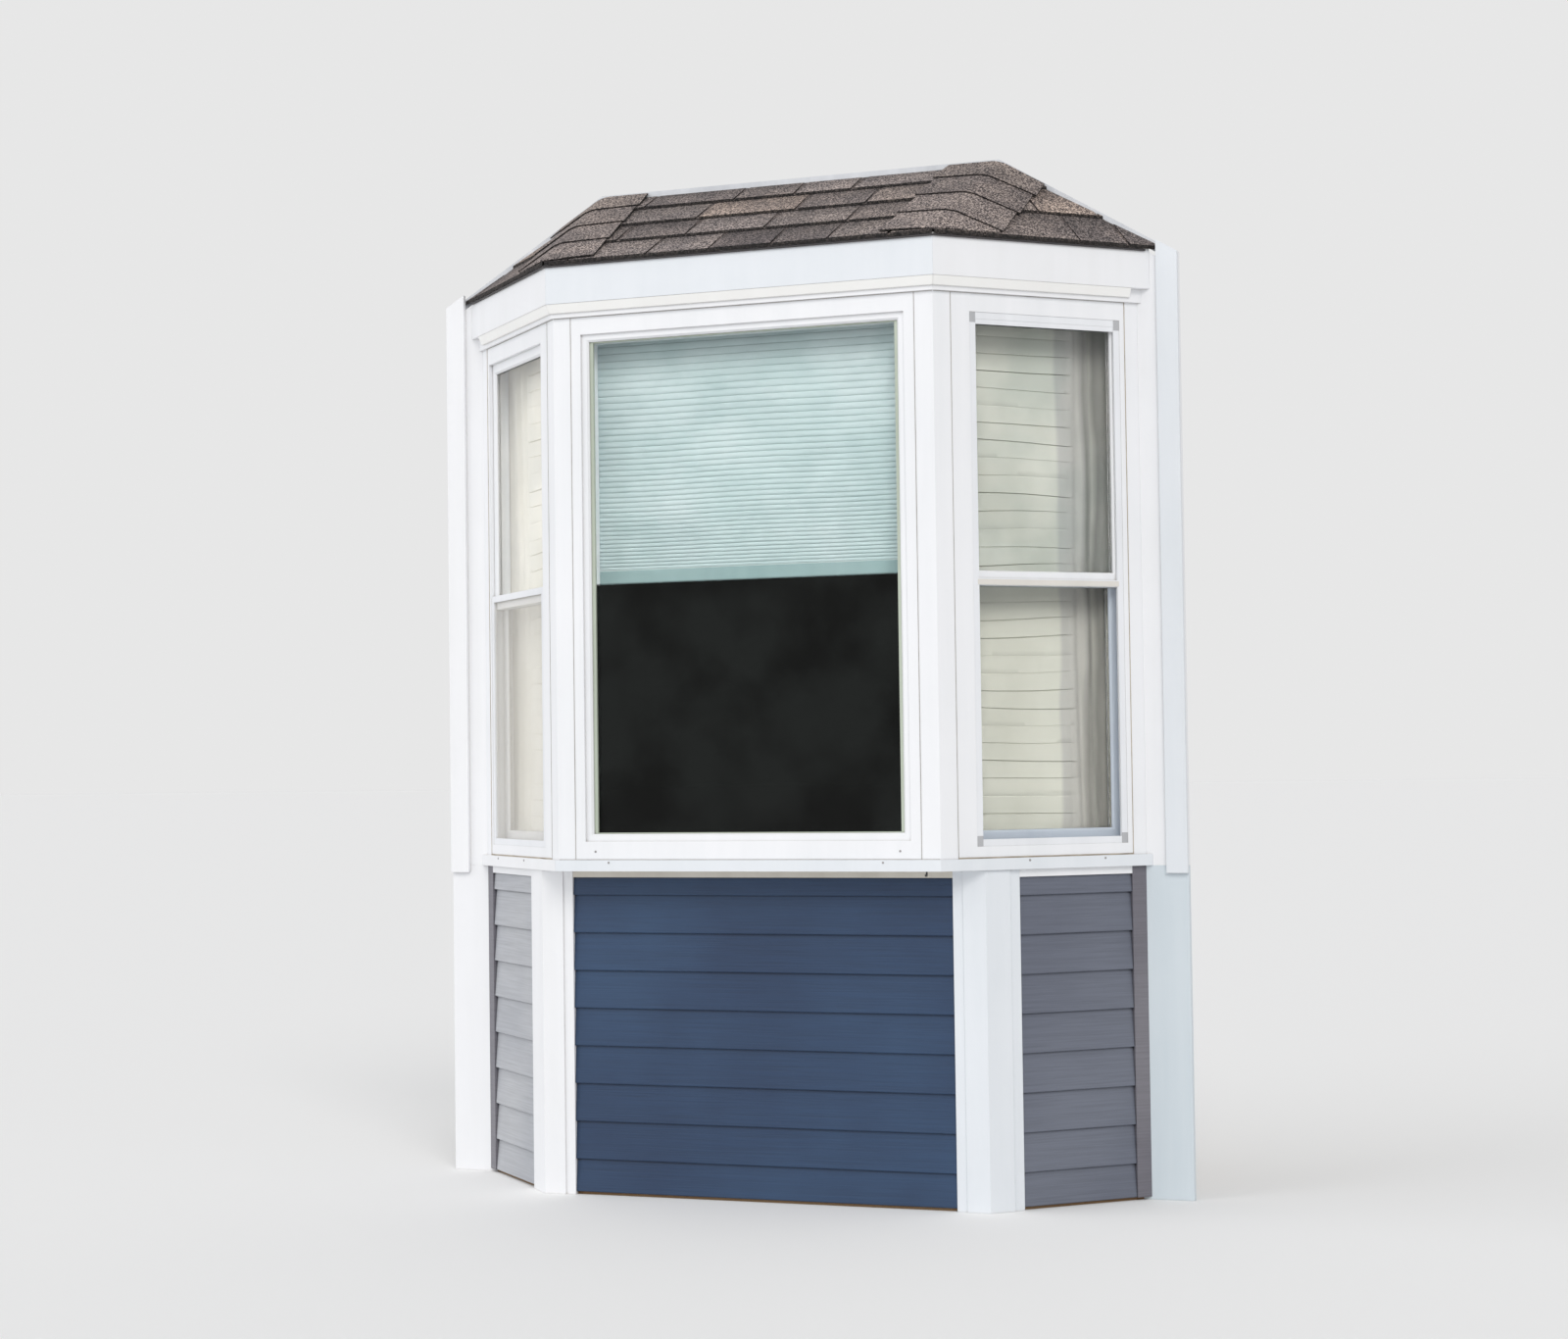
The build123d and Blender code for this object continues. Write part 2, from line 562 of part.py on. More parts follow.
with BuildPart() as casing_board:
    roof_edge = at_wall(EAVE_OUT)[0] + FIT
    outer_edge = [(BOARD_OUT, SEAT_LOW), (BOARD_OUT, casing_height(BOARD_OUT)), (roof_edge, casing_height(roof_edge))]
    notch = [(x, under_roof(x, BOARD_THICK) - FIT) for x in (roof_edge, BOARD_IN)]
    wall_board(outer_edge + notch + [(BOARD_IN, SEAT_LOW)], 0, BOARD_THICK)

with BuildPart() as casing_strip:
    strip_in = BOARD_OUT - STRIP_WIDE
    strip_low = SEAT_LOW - STRIP_LAP
    tops = [(BOARD_OUT, casing_height(BOARD_OUT)), (strip_in, casing_height(strip_in))]
    wall_board([(strip_in, strip_low), (BOARD_OUT, strip_low)] + tops, BOARD_THICK, STRIP_THICK)

# Base walls, framed and sheathed, from the ground to the seat board
SHEATH_FRONT = BASE_OUT - SHEATHING_BACK
SHEATH_SIDE = -SHEATHING_BACK
with BuildPart() as base_wall_front:
    outer_corner = corner(SHEATH_FRONT, SHEATH_SIDE)
    inner_corner = corner(SHEATH_FRONT - BASE_WALL, SHEATH_SIDE - BASE_WALL)
    plan_block([flip(outer_corner), outer_corner, inner_corner, flip(inner_corner)], 0, SEAT_LOW)

with BuildPart() as base_wall:
    points = [outer_corner, at_wall(SHEATH_SIDE), at_wall(SHEATH_SIDE - BASE_WALL), inner_corner]
    plan_block(points, 0, SEAT_LOW)
    trim_to_wall()

# Corner post of the base: a board folded round the corner, with a lower lip beside the siding
with BuildPart() as base_corner_post:
    front_line = corner(BASE_OUT + POST_PROUD, POST_PROUD)
    lip_line = corner(BASE_OUT + POST_PROUD - LIP_DROP, POST_PROUD - LIP_DROP)
    back_line = corner(SHEATH_FRONT, SHEATH_SIDE)
    front_end = front_line[0] - POST_FRONT
    side_end = along(lip_line, POST_SIDE)
    side_step = along(front_line, POST_SIDE - LIP_WIDE)
    lip_step = (side_step[0] - LIP_DROP * sin(ANGLE), side_step[1] + LIP_DROP * cos(ANGLE))
    back_reach = POST_PROUD - LIP_DROP + SHEATHING_BACK
    side_back = (side_end[0] - back_reach * sin(ANGLE), side_end[1] + back_reach * cos(ANGLE))
    outer_leaf = [(front_end, lip_line[1]), (front_end + LIP_WIDE, lip_line[1])]
    main_leaf = [(front_end + LIP_WIDE, front_line[1]), front_line, side_step, lip_step]
    inner_leaf = [side_end, side_back, back_line, (front_end, back_line[1])]
    plan_block(outer_leaf + main_leaf + inner_leaf, 0, SEAT_LOW)

# Lap siding between the posts: each course leans out to its rolled butt
def siding_section():
    """Sawtooth profile as pairs of distance out of the sheathing and height."""
    butts = [FIRST_BUTT - COURSE * i for i in range(int(FIRST_BUTT / COURSE) + 1)]
    butts = [height for height in butts if height > SIDING_LOW + LAP_OUT]
    points = [(0, CHANNEL_LOW), (0, SIDING_LOW), (BUTT_OUT, SIDING_LOW)]
    for height in reversed(butts):
        points.append((LAP_OUT, height))
        points.append((BUTT_OUT, height))
    lean = (BUTT_OUT - LAP_OUT) / COURSE
    points.append((BUTT_OUT - lean * (CHANNEL_LOW - FIRST_BUTT), CHANNEL_LOW))
    return points


def siding_outline():
    """The section drawn in the sketch that is open, with the butts rolled."""
    Polygon(*siding_section(), align=None)
    fillet(vertices().filter_by_position(Axis.X, BUTT_OUT - FIT, BUTT_OUT + FIT), radius=BUTT_ROLL)


with BuildPart() as siding_front:
    section = Plane(origin=(0, WALL_Y - PROJECTION - SHEATH_FRONT, 0), x_dir=(0, -1, 0), z_dir=(-1, 0, 0))
    with BuildSketch(section) as courses:
        siding_outline()
    extrude(courses.sketch, amount=front_end, both=True)

SIDING_START = hypot(side_back[0] - back_line[0], side_back[1] - back_line[1])
siding_origin = along(back_line, SIDING_START)
siding_end = at_wall(SHEATH_SIDE, BOARD_THICK)
SIDING_RUN = hypot(siding_end[0] - siding_origin[0], siding_end[1] - siding_origin[1]) - END_CHANNEL_WIDE

with BuildPart() as siding:
    section = Plane(
        origin=(siding_origin[0], siding_origin[1], 0),
        x_dir=(sin(ANGLE), -cos(ANGLE), 0),
        z_dir=(-cos(ANGLE), -sin(ANGLE), 0),
    )
    with BuildSketch(section) as courses:
        siding_outline()
    extrude(courses.sketch, amount=-SIDING_RUN)

# Channels that take the siding's cut edges: white ones above it, a coloured one against the wall board
with BuildPart() as channel_front:
    low_y = WALL_Y - PROJECTION - SHEATH_FRONT
    box_between((-front_end, low_y - CHANNEL_OUT, CHANNEL_LOW), (front_end, low_y, SEAT_LOW))

with BuildPart() as side_channel:
    far = along(siding_origin, SIDING_RUN)
    lift_x = CHANNEL_OUT * sin(ANGLE)
    lift_y = -CHANNEL_OUT * cos(ANGLE)
    near_out = (siding_origin[0] + lift_x, siding_origin[1] + lift_y)
    far_out = (far[0] + lift_x, far[1] + lift_y)
    plan_block([siding_origin, far, far_out, near_out], CHANNEL_LOW, SEAT_LOW)

with BuildPart() as end_channel:
    tip = (at_wall(SHEATH_SIDE + CHANNEL_OUT, BOARD_THICK))
    plan_block([far, siding_end, tip, far_out], SIDING_LOW, SEAT_LOW)

# Pleated shade: head rail, zigzag cloth and bottom rail, as one hanging
with BuildPart() as pleated_shade:
    pleat_y = WALL_Y - PROJECTION + FRAME_DEPTH + SHADE_GAP
    shade_half = GLASS_HALF
    cloth_high = WINDOW_TOP - SHADE_HEAD_TALL
    shade_low = WINDOW_TOP - SHADE_DROP
    cloth_low = shade_low + SHADE_FOOT_TALL
    pleats = max(1, round((cloth_high - cloth_low) / PLEAT_PITCH))
    step = (cloth_high - cloth_low) / (2 * pleats)
    front_zigzag = [(pleat_y + PLEAT_DEPTH * (i % 2), cloth_low + step * i) for i in range(2 * pleats + 1)]
    back_zigzag = [(y + SHADE_CLOTH, z) for y, z in reversed(front_zigzag)]
    with BuildSketch(Plane.YZ) as zigzag:
        Polygon(*(front_zigzag + back_zigzag), align=None)
    extrude(zigzag.sketch, amount=shade_half, both=True)
    rail_high_y = pleat_y + SHADE_RAIL_DEPTH
    box_between((-shade_half, pleat_y, shade_low), (shade_half, rail_high_y, cloth_low))
    box_between((-shade_half, pleat_y, cloth_high), (shade_half, rail_high_y, WINDOW_TOP))

# Curtain inside each flanker, hung from the head board in even folds
with BuildPart() as curtain:
    cloth_plane = flank_face.offset(-FRAME_DEPTH - CURTAIN_GAP - CURTAIN_SWING)
    start = cloth_plane.origin
    front_wave = []
    steps = 8 * CURTAIN_WAVES
    for i in range(steps + 1):
        run = SASH_START + (SASH_WIDE - CURTAIN_SHORT) * i / steps
        swing = CURTAIN_SWING * sin(radians(360) * i / 8)
        front_wave.append((run, swing))
    back_wave = [(run, swing - CURTAIN_CLOTH) for run, swing in reversed(front_wave)]
    outline = []
    for run, swing in front_wave + back_wave:
        outline.append((start.X + run * cos(ANGLE) + swing * sin(ANGLE), start.Y + run * sin(ANGLE) - swing * cos(ANGLE)))
    plan_block(outline, SEAT_TOP + CURTAIN_CLEAR, WINDOW_TOP)

middle_pieces = {
    "seat_board": seat_board,
    "head_board": head_board,
    "roof_plate": roof_plate,
    "seat_band_front": seat_band_front,
    "frieze_front": frieze_front,
    "fascia_front": fascia_front,
    "centre_frame": centre_frame,
    "centre_glass": centre_glass,
    "roof_deck_front": roof_deck_front,
    "shingles_front": shingles_front,
    "wall_flashing": wall_flashing,
    "roof_ledger": roof_ledger,
    "roof_rafters": roof_rafters,
    "base_wall_front": base_wall_front,
    "siding_front": siding_front,
    "channel_front": channel_front,
    "pleated_shade": pleated_shade,
    "right_screen": right_screen,
}
paired_pieces = {
    "seat_band": seat_band,
    "frieze": frieze,
    "fascia": fascia,
    "corner_post": corner_post,
    "frame": frame,
    "upper_sash": upper_sash,
    "lower_sash": lower_sash,
    "glass": glass,
    "roof_deck": roof_deck,
    "shingles": shingles,
    "hip_caps": hip_caps,
    "base_board": base_board,
    "casing_board": casing_board,
    "casing_strip": casing_strip,
    "base_wall": base_wall,
    "base_corner_post": base_corner_post,
    "siding": siding,
    "side_channel": side_channel,
    "end_channel": end_channel,
    "curtain": curtain,
}

os.makedirs("parts", exist_ok=True)


def save(piece, name):
    piece.part.label = name
    export_step(piece.part, f"parts/{name}.step")


for name, piece in middle_pieces.items():
    save(piece, name)

for name, piece in paired_pieces.items():
    save(piece, "right_" + name)
    with BuildPart() as twin:
        mirror(piece.part, about=Plane.YZ)
    save(twin, "left_" + name)

with BuildPart() as left_screen:
    mirror(half_screen.part, about=Plane.YZ)
save(left_screen, "left_screen")
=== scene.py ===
# %% [markdown]
# # A bay window, dressed for rendering
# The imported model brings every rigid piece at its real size. This script gives each its finish, and models by
# hand what is too fine for plain solids, from shingle tabs and folds of cloth down to nail heads. Everything
# is in metres. X runs to the right, Y to the back and Z up, and the front looks towards -Y.

import json
import math
import random

import bpy
from mathutils import Matrix, Vector


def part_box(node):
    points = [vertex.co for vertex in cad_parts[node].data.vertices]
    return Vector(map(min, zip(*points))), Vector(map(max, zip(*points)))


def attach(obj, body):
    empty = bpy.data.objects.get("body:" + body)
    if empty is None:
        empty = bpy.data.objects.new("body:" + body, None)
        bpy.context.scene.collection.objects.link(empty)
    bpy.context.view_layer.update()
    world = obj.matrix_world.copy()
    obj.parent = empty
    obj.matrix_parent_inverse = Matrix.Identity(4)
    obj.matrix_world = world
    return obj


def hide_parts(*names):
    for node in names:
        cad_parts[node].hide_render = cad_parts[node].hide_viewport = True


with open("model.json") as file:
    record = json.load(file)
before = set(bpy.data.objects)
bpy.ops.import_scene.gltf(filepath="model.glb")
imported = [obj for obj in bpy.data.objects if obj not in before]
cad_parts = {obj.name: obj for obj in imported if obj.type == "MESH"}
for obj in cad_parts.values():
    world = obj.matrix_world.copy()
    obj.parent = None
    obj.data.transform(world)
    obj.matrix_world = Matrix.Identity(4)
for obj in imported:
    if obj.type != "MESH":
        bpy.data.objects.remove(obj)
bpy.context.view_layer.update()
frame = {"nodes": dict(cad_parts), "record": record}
nodes = frame["nodes"]

# %% [markdown]
# ## The camera
# The photograph was taken from the right of the bay, at about chest height. A camera could be placed by eye,
# but one fitted to straight lines in the photograph lets the render be laid over it.

# %% Camera
CAMERA_PLACE = (2.682, -6.968, 1.145)
PITCH_ROLL_TURN = (92.02, 0.76, 20.81)
LENS = 63.76

bpy.ops.object.camera_add(location=CAMERA_PLACE, rotation=[math.radians(turn) for turn in PITCH_ROLL_TURN])
camera = bpy.context.object
camera.name = "photo_camera"
camera.data.lens = LENS
bpy.context.scene.camera = camera
bpy.context.scene.view_settings.view_transform = "Standard"
print("camera at", CAMERA_PLACE, "lens", LENS)

# %% [markdown]
# ## Tools for the finishes
# Colours are written as a screen shows them, 0 to 255, and turned into the linear values that shaders use.
# Patterns could be pictures wrapped round the pieces, but noise on Object coordinates needs no unwrapping and
# has no seams. The pieces all sit at the origin, so a pattern runs on from piece to piece.

# %% Nodes and colours
finishes = {}


def node(tree, kind, inputs=None, **settings):
    """A shader node with its properties set and its inputs filled or linked."""
    made = tree.nodes.new("ShaderNode" + kind)
    for name, value in settings.items():
        setattr(made, name, value)
    for name, value in (inputs or {}).items():
        if isinstance(value, bpy.types.NodeSocket):
            tree.links.new(value, made.inputs[name])
        else:
            made.inputs[name].default_value = value
    return made


def shown(red, green, blue):
    """A screen colour as linear values with full opacity."""
    return tuple(((c / 255 + 0.055) / 1.055) ** 2.4 for c in (red, green, blue)) + (1.0,)


def grey(level):
    return (level, level, level, 1.0)


def new_finish(name, roughness):
    """Starts a finish: its node tree, its main shader and the Object coordinates."""
    finish = bpy.data.materials.new(name + "_finish")
    finish.use_nodes = True
    finishes[name] = finish
    tree = finish.node_tree
    shader = tree.nodes["Principled BSDF"]
    shader.inputs["Roughness"].default_value = roughness
    print("finish", len(finishes), "is", name)
    return tree, shader, node(tree, "TexCoord").outputs["Object"]


# %% Patterns
def noise(tree, place, scale, detail=3.0, rough=0.5):
    """Soft cloudy noise from 0 to 1. Scale is in features a metre, the same all ways or along X, Y and Z."""
    if isinstance(scale, tuple):
        place = node(tree, "Mapping", {"Vector": place, "Scale": scale}).outputs["Vector"]
        scale = 1.0
    made = node(tree, "TexNoise", {"Vector": place, "Scale": scale, "Detail": detail, "Roughness": rough})
    return made.outputs["Fac"]


def ramp(tree, factor, stops):
    """A colour ramp, given as (position, colour) pairs."""
    made = node(tree, "ValToRGB", {"Fac": factor})
    elements = made.color_ramp.elements
    elements[0].position, elements[0].color = stops[0]
    elements[1].position, elements[1].color = stops[-1]
    for position, colour in stops[1:-1]:
        elements.new(position).color = colour
    return made.outputs["Color"]


def math_node(tree, way, first, second):
    return node(tree, "Math", {0: first, 1: second}, operation=way).outputs[0]


def blend_colours(tree, factor, first, second, way="MIX"):
    """Mixes two colours, or multiplies the first by the second."""
    return node(tree, "Mix", {0: factor, 6: first, 7: second}, data_type="RGBA", blend_type=way).outputs[2]


def shaded(tree, colour, pattern, stops):
    """Multiplies a colour by the light and dark tones of a pattern."""
    return blend_colours(tree, 1.0, colour, ramp(tree, pattern, stops), "MULTIPLY")


# Painted shade: ambient occlusion darkens the colour in crevices, under laps and between parts.
def crevice_shade_and_dirt(tree, colour, reach, shade_and_dirt_colour):
    """Darkens a colour in crevices found by ambient occlusion: painted shade, and the dust and rain water that
    settle there.
    """
    hidden = node(tree, "AmbientOcclusion", {"Distance": reach}, samples=6).outputs["AO"]
    amount = ramp(tree, hidden, [(0.25, grey(1.0)), (0.72, grey(0.0))])
    return blend_colours(tree, amount, colour, shade_and_dirt_colour, "MULTIPLY")


def surfaced(tree, shader, colour, height, depth, edge=None):
    """Colours the shader, raises its surface by a pattern `depth` metres deep, and rounds its corners."""
    tree.links.new(colour, shader.inputs["Base Color"])
    inputs = {"Height": height, "Distance": depth, "Strength": 1.0}
    if edge:
        inputs["Normal"] = node(tree, "Bevel", {"Radius": edge}, samples=4).outputs["Normal"]
    tree.links.new(node(tree, "Bump", inputs).outputs["Normal"], shader.inputs["Normal"])


# %% [markdown]
# ## Floor, background and light
# The background is white only for rays that come straight from the camera, from a mirror reflection or
# through glass, so it adds no light. The light is a pale world, a broad sun from the front right, as in the
# photograph, and a weaker one from the left that opens the shadows. Area lamps would fade towards the back,
# while suns keep the whole floor one tone.

# %% Floor and background
FLOOR_SIZE = 300.0
FLOOR_WHITE = 0.873
WORLD_LEVEL = 0.57
WORLD_TINT = (0.975, 0.985, 1.0, 1.0)
BACKGROUND_WHITE = 0.80


def seen_directly(tree):
    """1 for rays from the camera, from a mirror reflection or through glass, else 0."""
    rays = node(tree, "LightPath").outputs
    either = math_node(tree, "MAXIMUM", rays["Is Camera Ray"], rays["Is Glossy Ray"])
    return math_node(tree, "MAXIMUM", either, rays["Is Transmission Ray"])


world = bpy.data.worlds.new("studio_world")
bpy.context.scene.world = world
world.use_nodes = True
sky = world.node_tree
sky.nodes.clear()
light_sky = node(sky, "Background", {"Color": WORLD_TINT, "Strength": WORLD_LEVEL})
shown_sky = node(sky, "Background", {"Color": grey(1.0), "Strength": BACKGROUND_WHITE})
chosen_sky = node(sky, "MixShader", {0: seen_directly(sky), 1: light_sky.outputs[0], 2: shown_sky.outputs[0]})
node(sky, "OutputWorld", {"Surface": chosen_sky.outputs[0]})

bpy.ops.mesh.primitive_plane_add(size=FLOOR_SIZE)
floor = bpy.context.object
floor.name = "floor"
floor_shader = new_finish("floor_paper", 0.9)[1]
floor_shader.inputs["Base Color"].default_value = grey(FLOOR_WHITE)
floor_shader.inputs["Specular IOR Level"].default_value = 0.1
floor.data.materials.append(finishes["floor_paper"])


# %% Lamps
def soft_sun(name, turn, height, spread, strength, colour):
    """A broad sun, turned to the right from the front, at a height above the horizon."""
    bpy.ops.object.light_add(type="SUN", rotation=(math.radians(90 - height), 0, math.radians(turn)))
    lamp = bpy.context.object
    lamp.name = name
    lamp.data.angle = math.radians(spread)
    lamp.data.energy = strength
    lamp.data.color = colour


soft_sun("key_sun", 28, 38, 30, 1.14, (1.0, 0.975, 0.94))
soft_sun("fill_sun", -58, 28, 60, 0.90, (0.98, 0.985, 1.0))

# %% [markdown]
# ## Painted and vinyl whites
# The bands and boards are thin coated metal bent over wood, the frames and sashes smooth vinyl, and the
# flashing and the screen frames enamelled. One plain white would do for all, but a white looks real through
# what is on it: a little cloudiness, streaks that run down, painted shade and dirt in the corners, and rounded
# edges.

# %% Smooth finishes
RAIN_STREAKS = (16.0, 16.0, 0.9)
SLOW_WAVES = (6.0, 6.0, 2.0)
CREVICE = 0.009


def smooth_finish(name, clean, weathered, roughness, wave_depth, edge=None):
    """Coated metal, vinyl or the like, in two screen colours that clouds and streaks blend."""
    tree, shader, place = new_finish(name, roughness)
    clouds = noise(tree, place, 3.0, 4.0)
    worn = math_node(tree, "MULTIPLY", clouds, noise(tree, place, RAIN_STREAKS, 4.0, 0.6))
    colour = ramp(tree, worn, [(0.14, shown(*clean)), (0.48, shown(*weathered))])
    # Painted shade and dirt in the corners, by ambient occlusion.
    colour = crevice_shade_and_dirt(tree, colour, CREVICE, shown(206, 201, 194))
    surfaced(tree, shader, colour, noise(tree, place, SLOW_WAVES, 2.0), wave_depth, edge)
    gloss = node(tree, "MapRange", {"Value": clouds, "To Min": roughness - 0.06, "To Max": roughness + 0.1})
    tree.links.new(gloss.outputs[0], shader.inputs["Roughness"])


smooth_finish("white_trim", (241, 242, 245), (235, 236, 238), 0.42, 0.003, 0.0012)
smooth_finish("white_frame", (242, 243, 246), (234, 236, 239), 0.32, 0.001, 0.0010)
smooth_finish("white_metal", (226, 229, 234), (196, 199, 205), 0.38, 0.003, 0.0006)
smooth_finish("screen_frame", (238, 240, 244), (226, 228, 232), 0.30, 0.001, 0.0008)

# %% [markdown]
# ## Siding and its channels
# The siding is vinyl pressed with a shallow wood grain. The courses could carry a picture of wood, but noise
# stretched along them gives such a grain without a repeat. Slow cloudy noise shows how sun and rain fade
# vinyl unevenly.

# %% Siding finish
PRESSED_GRAIN = (5.0, 5.0, 240.0)
LAP_SHADOW = 0.014


def siding_finish(name, light, dark, roughness):
    """Pressed vinyl in two screen colours, lighter where it has faded."""
    tree, shader, place = new_finish(name, roughness)
    grain = noise(tree, place, PRESSED_GRAIN, 5.0, 0.62)
    colour = ramp(tree, noise(tree, place, 2.2), [(0.35, shown(*dark)), (0.68, shown(*light))])
    colour = shaded(tree, colour, grain, [(0.30, grey(0.84)), (0.62, grey(1.04))])
    # Painted shade: the dark lines under each lap, by ambient occlusion.
    colour = crevice_shade_and_dirt(tree, colour, LAP_SHADOW, shown(52, 52, 58))
    surfaced(tree, shader, colour, grain, 0.0006, 0.0012)


siding_finish("siding_blue", (42, 68, 100), (31, 54, 85), 0.50)
# Painted light: the right side's warmer grey is warm light falling on it.
siding_finish("siding_painted_warm_light", (108, 113, 126), (98, 103, 117), 0.48)
# Painted light: the left side's near-white is the glare of the low sun.
siding_finish("siding_painted_glare", (184, 186, 190), (166, 169, 176), 0.42)
siding_finish("channel_grey", (122, 120, 127), (106, 104, 113), 0.45)

# %% [markdown]
# ## Shingles
# A laminated shingle is felt covered with crushed stone, and one tab is light where the next is dark. Each
# tone could be a material, but here the tabs carry it in a colour attribute that is set where they are made.
# The stone is fine noise: three colours mixed grain by grain.

# %% Shingle finish
STONE_TONES = [(0.43, shown(22, 22, 26)), (0.50, shown(82, 77, 81)), (0.57, shown(204, 194, 189))]
BROWN_TONES = [(0.40, shown(66, 60, 62)), (0.60, shown(150, 138, 132))]
PATCH_TONES = [(0.36, (0.74, 0.73, 0.74, 1)), (0.64, (1.12, 1.09, 1.06, 1))]
BROWN_SHARE = 0.28


def shingle_finish(name):
    tree, shader, place = new_finish(name, 0.93)
    grains = noise(tree, place, 200.0, 2.0, 0.7)
    brown = ramp(tree, noise(tree, place, 70.0, 3.0, 0.7), BROWN_TONES)
    colour = blend_colours(tree, BROWN_SHARE, ramp(tree, grains, STONE_TONES), brown)
    colour = shaded(tree, colour, noise(tree, place, 9.0), PATCH_TONES)
    tone = node(tree, "VertexColor", layer_name="tab_tone").outputs["Color"]
    colour = blend_colours(tree, 1.0, colour, tone, "MULTIPLY")
    surfaced(tree, shader, colour, grains, 0.0016)


shingle_finish("shingle_brown")

# %% [markdown]
# ## Bare wood
# Deck, rafters, ledger and base walls are plain softwood that shows only from behind and below. A wave
# pattern could give the year rings, but looks too even. So they are broad stretched noise, and the fibres are
# finer noise, stretched further. Both run level, along the boards on every side of the bay.

# %% Bare wood finish
YEAR_RINGS = (1.3, 1.3, 26.0)
FIBRES = (6.0, 6.0, 160.0)


def wood_finish(name):
    tree, shader, place = new_finish(name, 0.72)
    rings = noise(tree, place, YEAR_RINGS, 3.0, 0.55)
    fibre = noise(tree, place, FIBRES, 4.0)
    colour = ramp(tree, rings, [(0.36, shown(190, 158, 116)), (0.64, shown(214, 186, 146))])
    colour = shaded(tree, colour, fibre, [(0.3, (0.88, 0.86, 0.83, 1)), (0.7, grey(1.04))])
    # Painted shade and dirt where the boards meet, by ambient occlusion.
    colour = crevice_shade_and_dirt(tree, colour, 0.02, shown(150, 130, 110))
    surfaced(tree, shader, colour, fibre, 0.0004, 0.0012)


wood_finish("bare_wood")

# %% [markdown]
# ## Glass
# A pane is a clear solid that bends light only a little. Lamps don't shine through a glass shader, so rays on
# their way to a lamp see a transparent shader instead, and what hangs behind the pane stays lit. One tint
# would be too even, so slow noise moves between a pair of them above a height and another pair below it. Only
# darkness shows below the foot of the shade, so the picture pane is tinted nearly black there, as painted
# shade. The flankers' upper panes are tinted greyer than the lower ones, as painted reflection and shade, and
# the left panes lighter, as painted sunlight. Seen from indoors, all are clear.

# %% Glass finish
GLASS_BEND = 1.2
TINT_EDGE = 0.003
INDOOR_TINT = (0.95, 0.96, 0.95, 1)


def glass_finish(name, high_pair, low_pair, edge):
    """Clear glass with a pair of tints above the height `edge` and another pair below it."""
    tree, shader, place = new_finish(name, 0.01)
    shader.inputs["Transmission Weight"].default_value = 1.0
    shader.inputs["IOR"].default_value = GLASS_BEND
    height = node(tree, "SeparateXYZ", {"Vector": place}).outputs["Z"]
    limits = {"Value": height, "From Min": edge - TINT_EDGE, "From Max": edge + TINT_EDGE}
    above = node(tree, "MapRange", limits).outputs[0]
    clouds = noise(tree, place, 4.5, 4.0)
    high, low = (ramp(tree, clouds, [(0.40, pair[0]), (0.60, pair[1])]) for pair in (high_pair, low_pair))
    facing = node(tree, "SeparateXYZ", {"Vector": node(tree, "TexCoord").outputs["Normal"]}).outputs["Y"]
    indoors = math_node(tree, "GREATER_THAN", facing, 0.0)
    colour = blend_colours(tree, indoors, blend_colours(tree, above, low, high), INDOOR_TINT)
    surfaced(tree, shader, colour, noise(tree, place, 3.0, 1.0), 0.0005)
    passing = node(tree, "BsdfTransparent", {"Color": colour})
    to_lamp = node(tree, "LightPath").outputs["Is Shadow Ray"]
    mixed = node(tree, "MixShader", {0: to_lamp, 1: shader.outputs[0], 2: passing.outputs[0]})
    tree.links.new(mixed.outputs[0], tree.nodes["Material Output"].inputs["Surface"])


# %% Panes
AQUA_PAIR = ((0.88, 0.93, 0.92, 1), (0.96, 0.975, 0.97, 1))
# Nearly black: painted shade below the foot of the pleated shade.
PAINTED_SHADE_PAIR = ((0.005, 0.0055, 0.005, 1), (0.014, 0.016, 0.015, 1))
# Greyer upper flanker panes: painted reflection and shade.
REFLECTION_SHADE_PAIR = ((0.80, 0.85, 0.86, 1), (0.95, 0.97, 0.98, 1))
CLEAR_PAIR = ((0.93, 0.94, 0.93, 1), (0.97, 0.975, 0.965, 1))
# Lighter lower left pane: painted sunlight.
SUNLIT_PAIR = ((0.97, 0.975, 0.965, 1), (1.0, 1.0, 0.995, 1))
# Left upper pane: painted reflection and shade, paler than on the right.
PALE_REFLECTION_PAIR = ((0.88, 0.89, 0.89, 1), (0.97, 0.97, 0.96, 1))
shade_low, shade_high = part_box("pleated_shade")
meeting_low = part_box("right_upper_sash")[0][2]

glass_finish("picture_glass", AQUA_PAIR, PAINTED_SHADE_PAIR, shade_low[2])
glass_finish("window_glass", REFLECTION_SHADE_PAIR, CLEAR_PAIR, meeting_low)
glass_finish("sunlit_glass", PALE_REFLECTION_PAIR, SUNLIT_PAIR, meeting_low)

# %% [markdown]
# ## Cloth
# The shade is stiff paper-like cloth and the curtains are thin cotton. The weave is two wave patterns, one
# across the cloth and one down it, multiplied. Object coordinates would slice through the folds, so the
# threads read the piece's own UV map, which is its flat cut in metres. The right curtain ends in a thinner,
# greyer panel.

# %% Cloth finish
WAVE_TURN = math.tau / 20.0
SHEER_FROM = 0.325
SHEER_WANDER = 0.030
CLOTH_END = 0.485
SHEER_TONES = [(0.0, grey(1.0)), (0.08, (0.78, 0.77, 0.82, 1)), (0.50, (0.76, 0.74, 0.78, 1)),
               (0.60, (0.40, 0.39, 0.41, 1)), (0.72, (0.66, 0.65, 0.66, 1)), (0.80, (0.36, 0.35, 0.37, 1)),
               (1.0, (0.60, 0.59, 0.60, 1))]


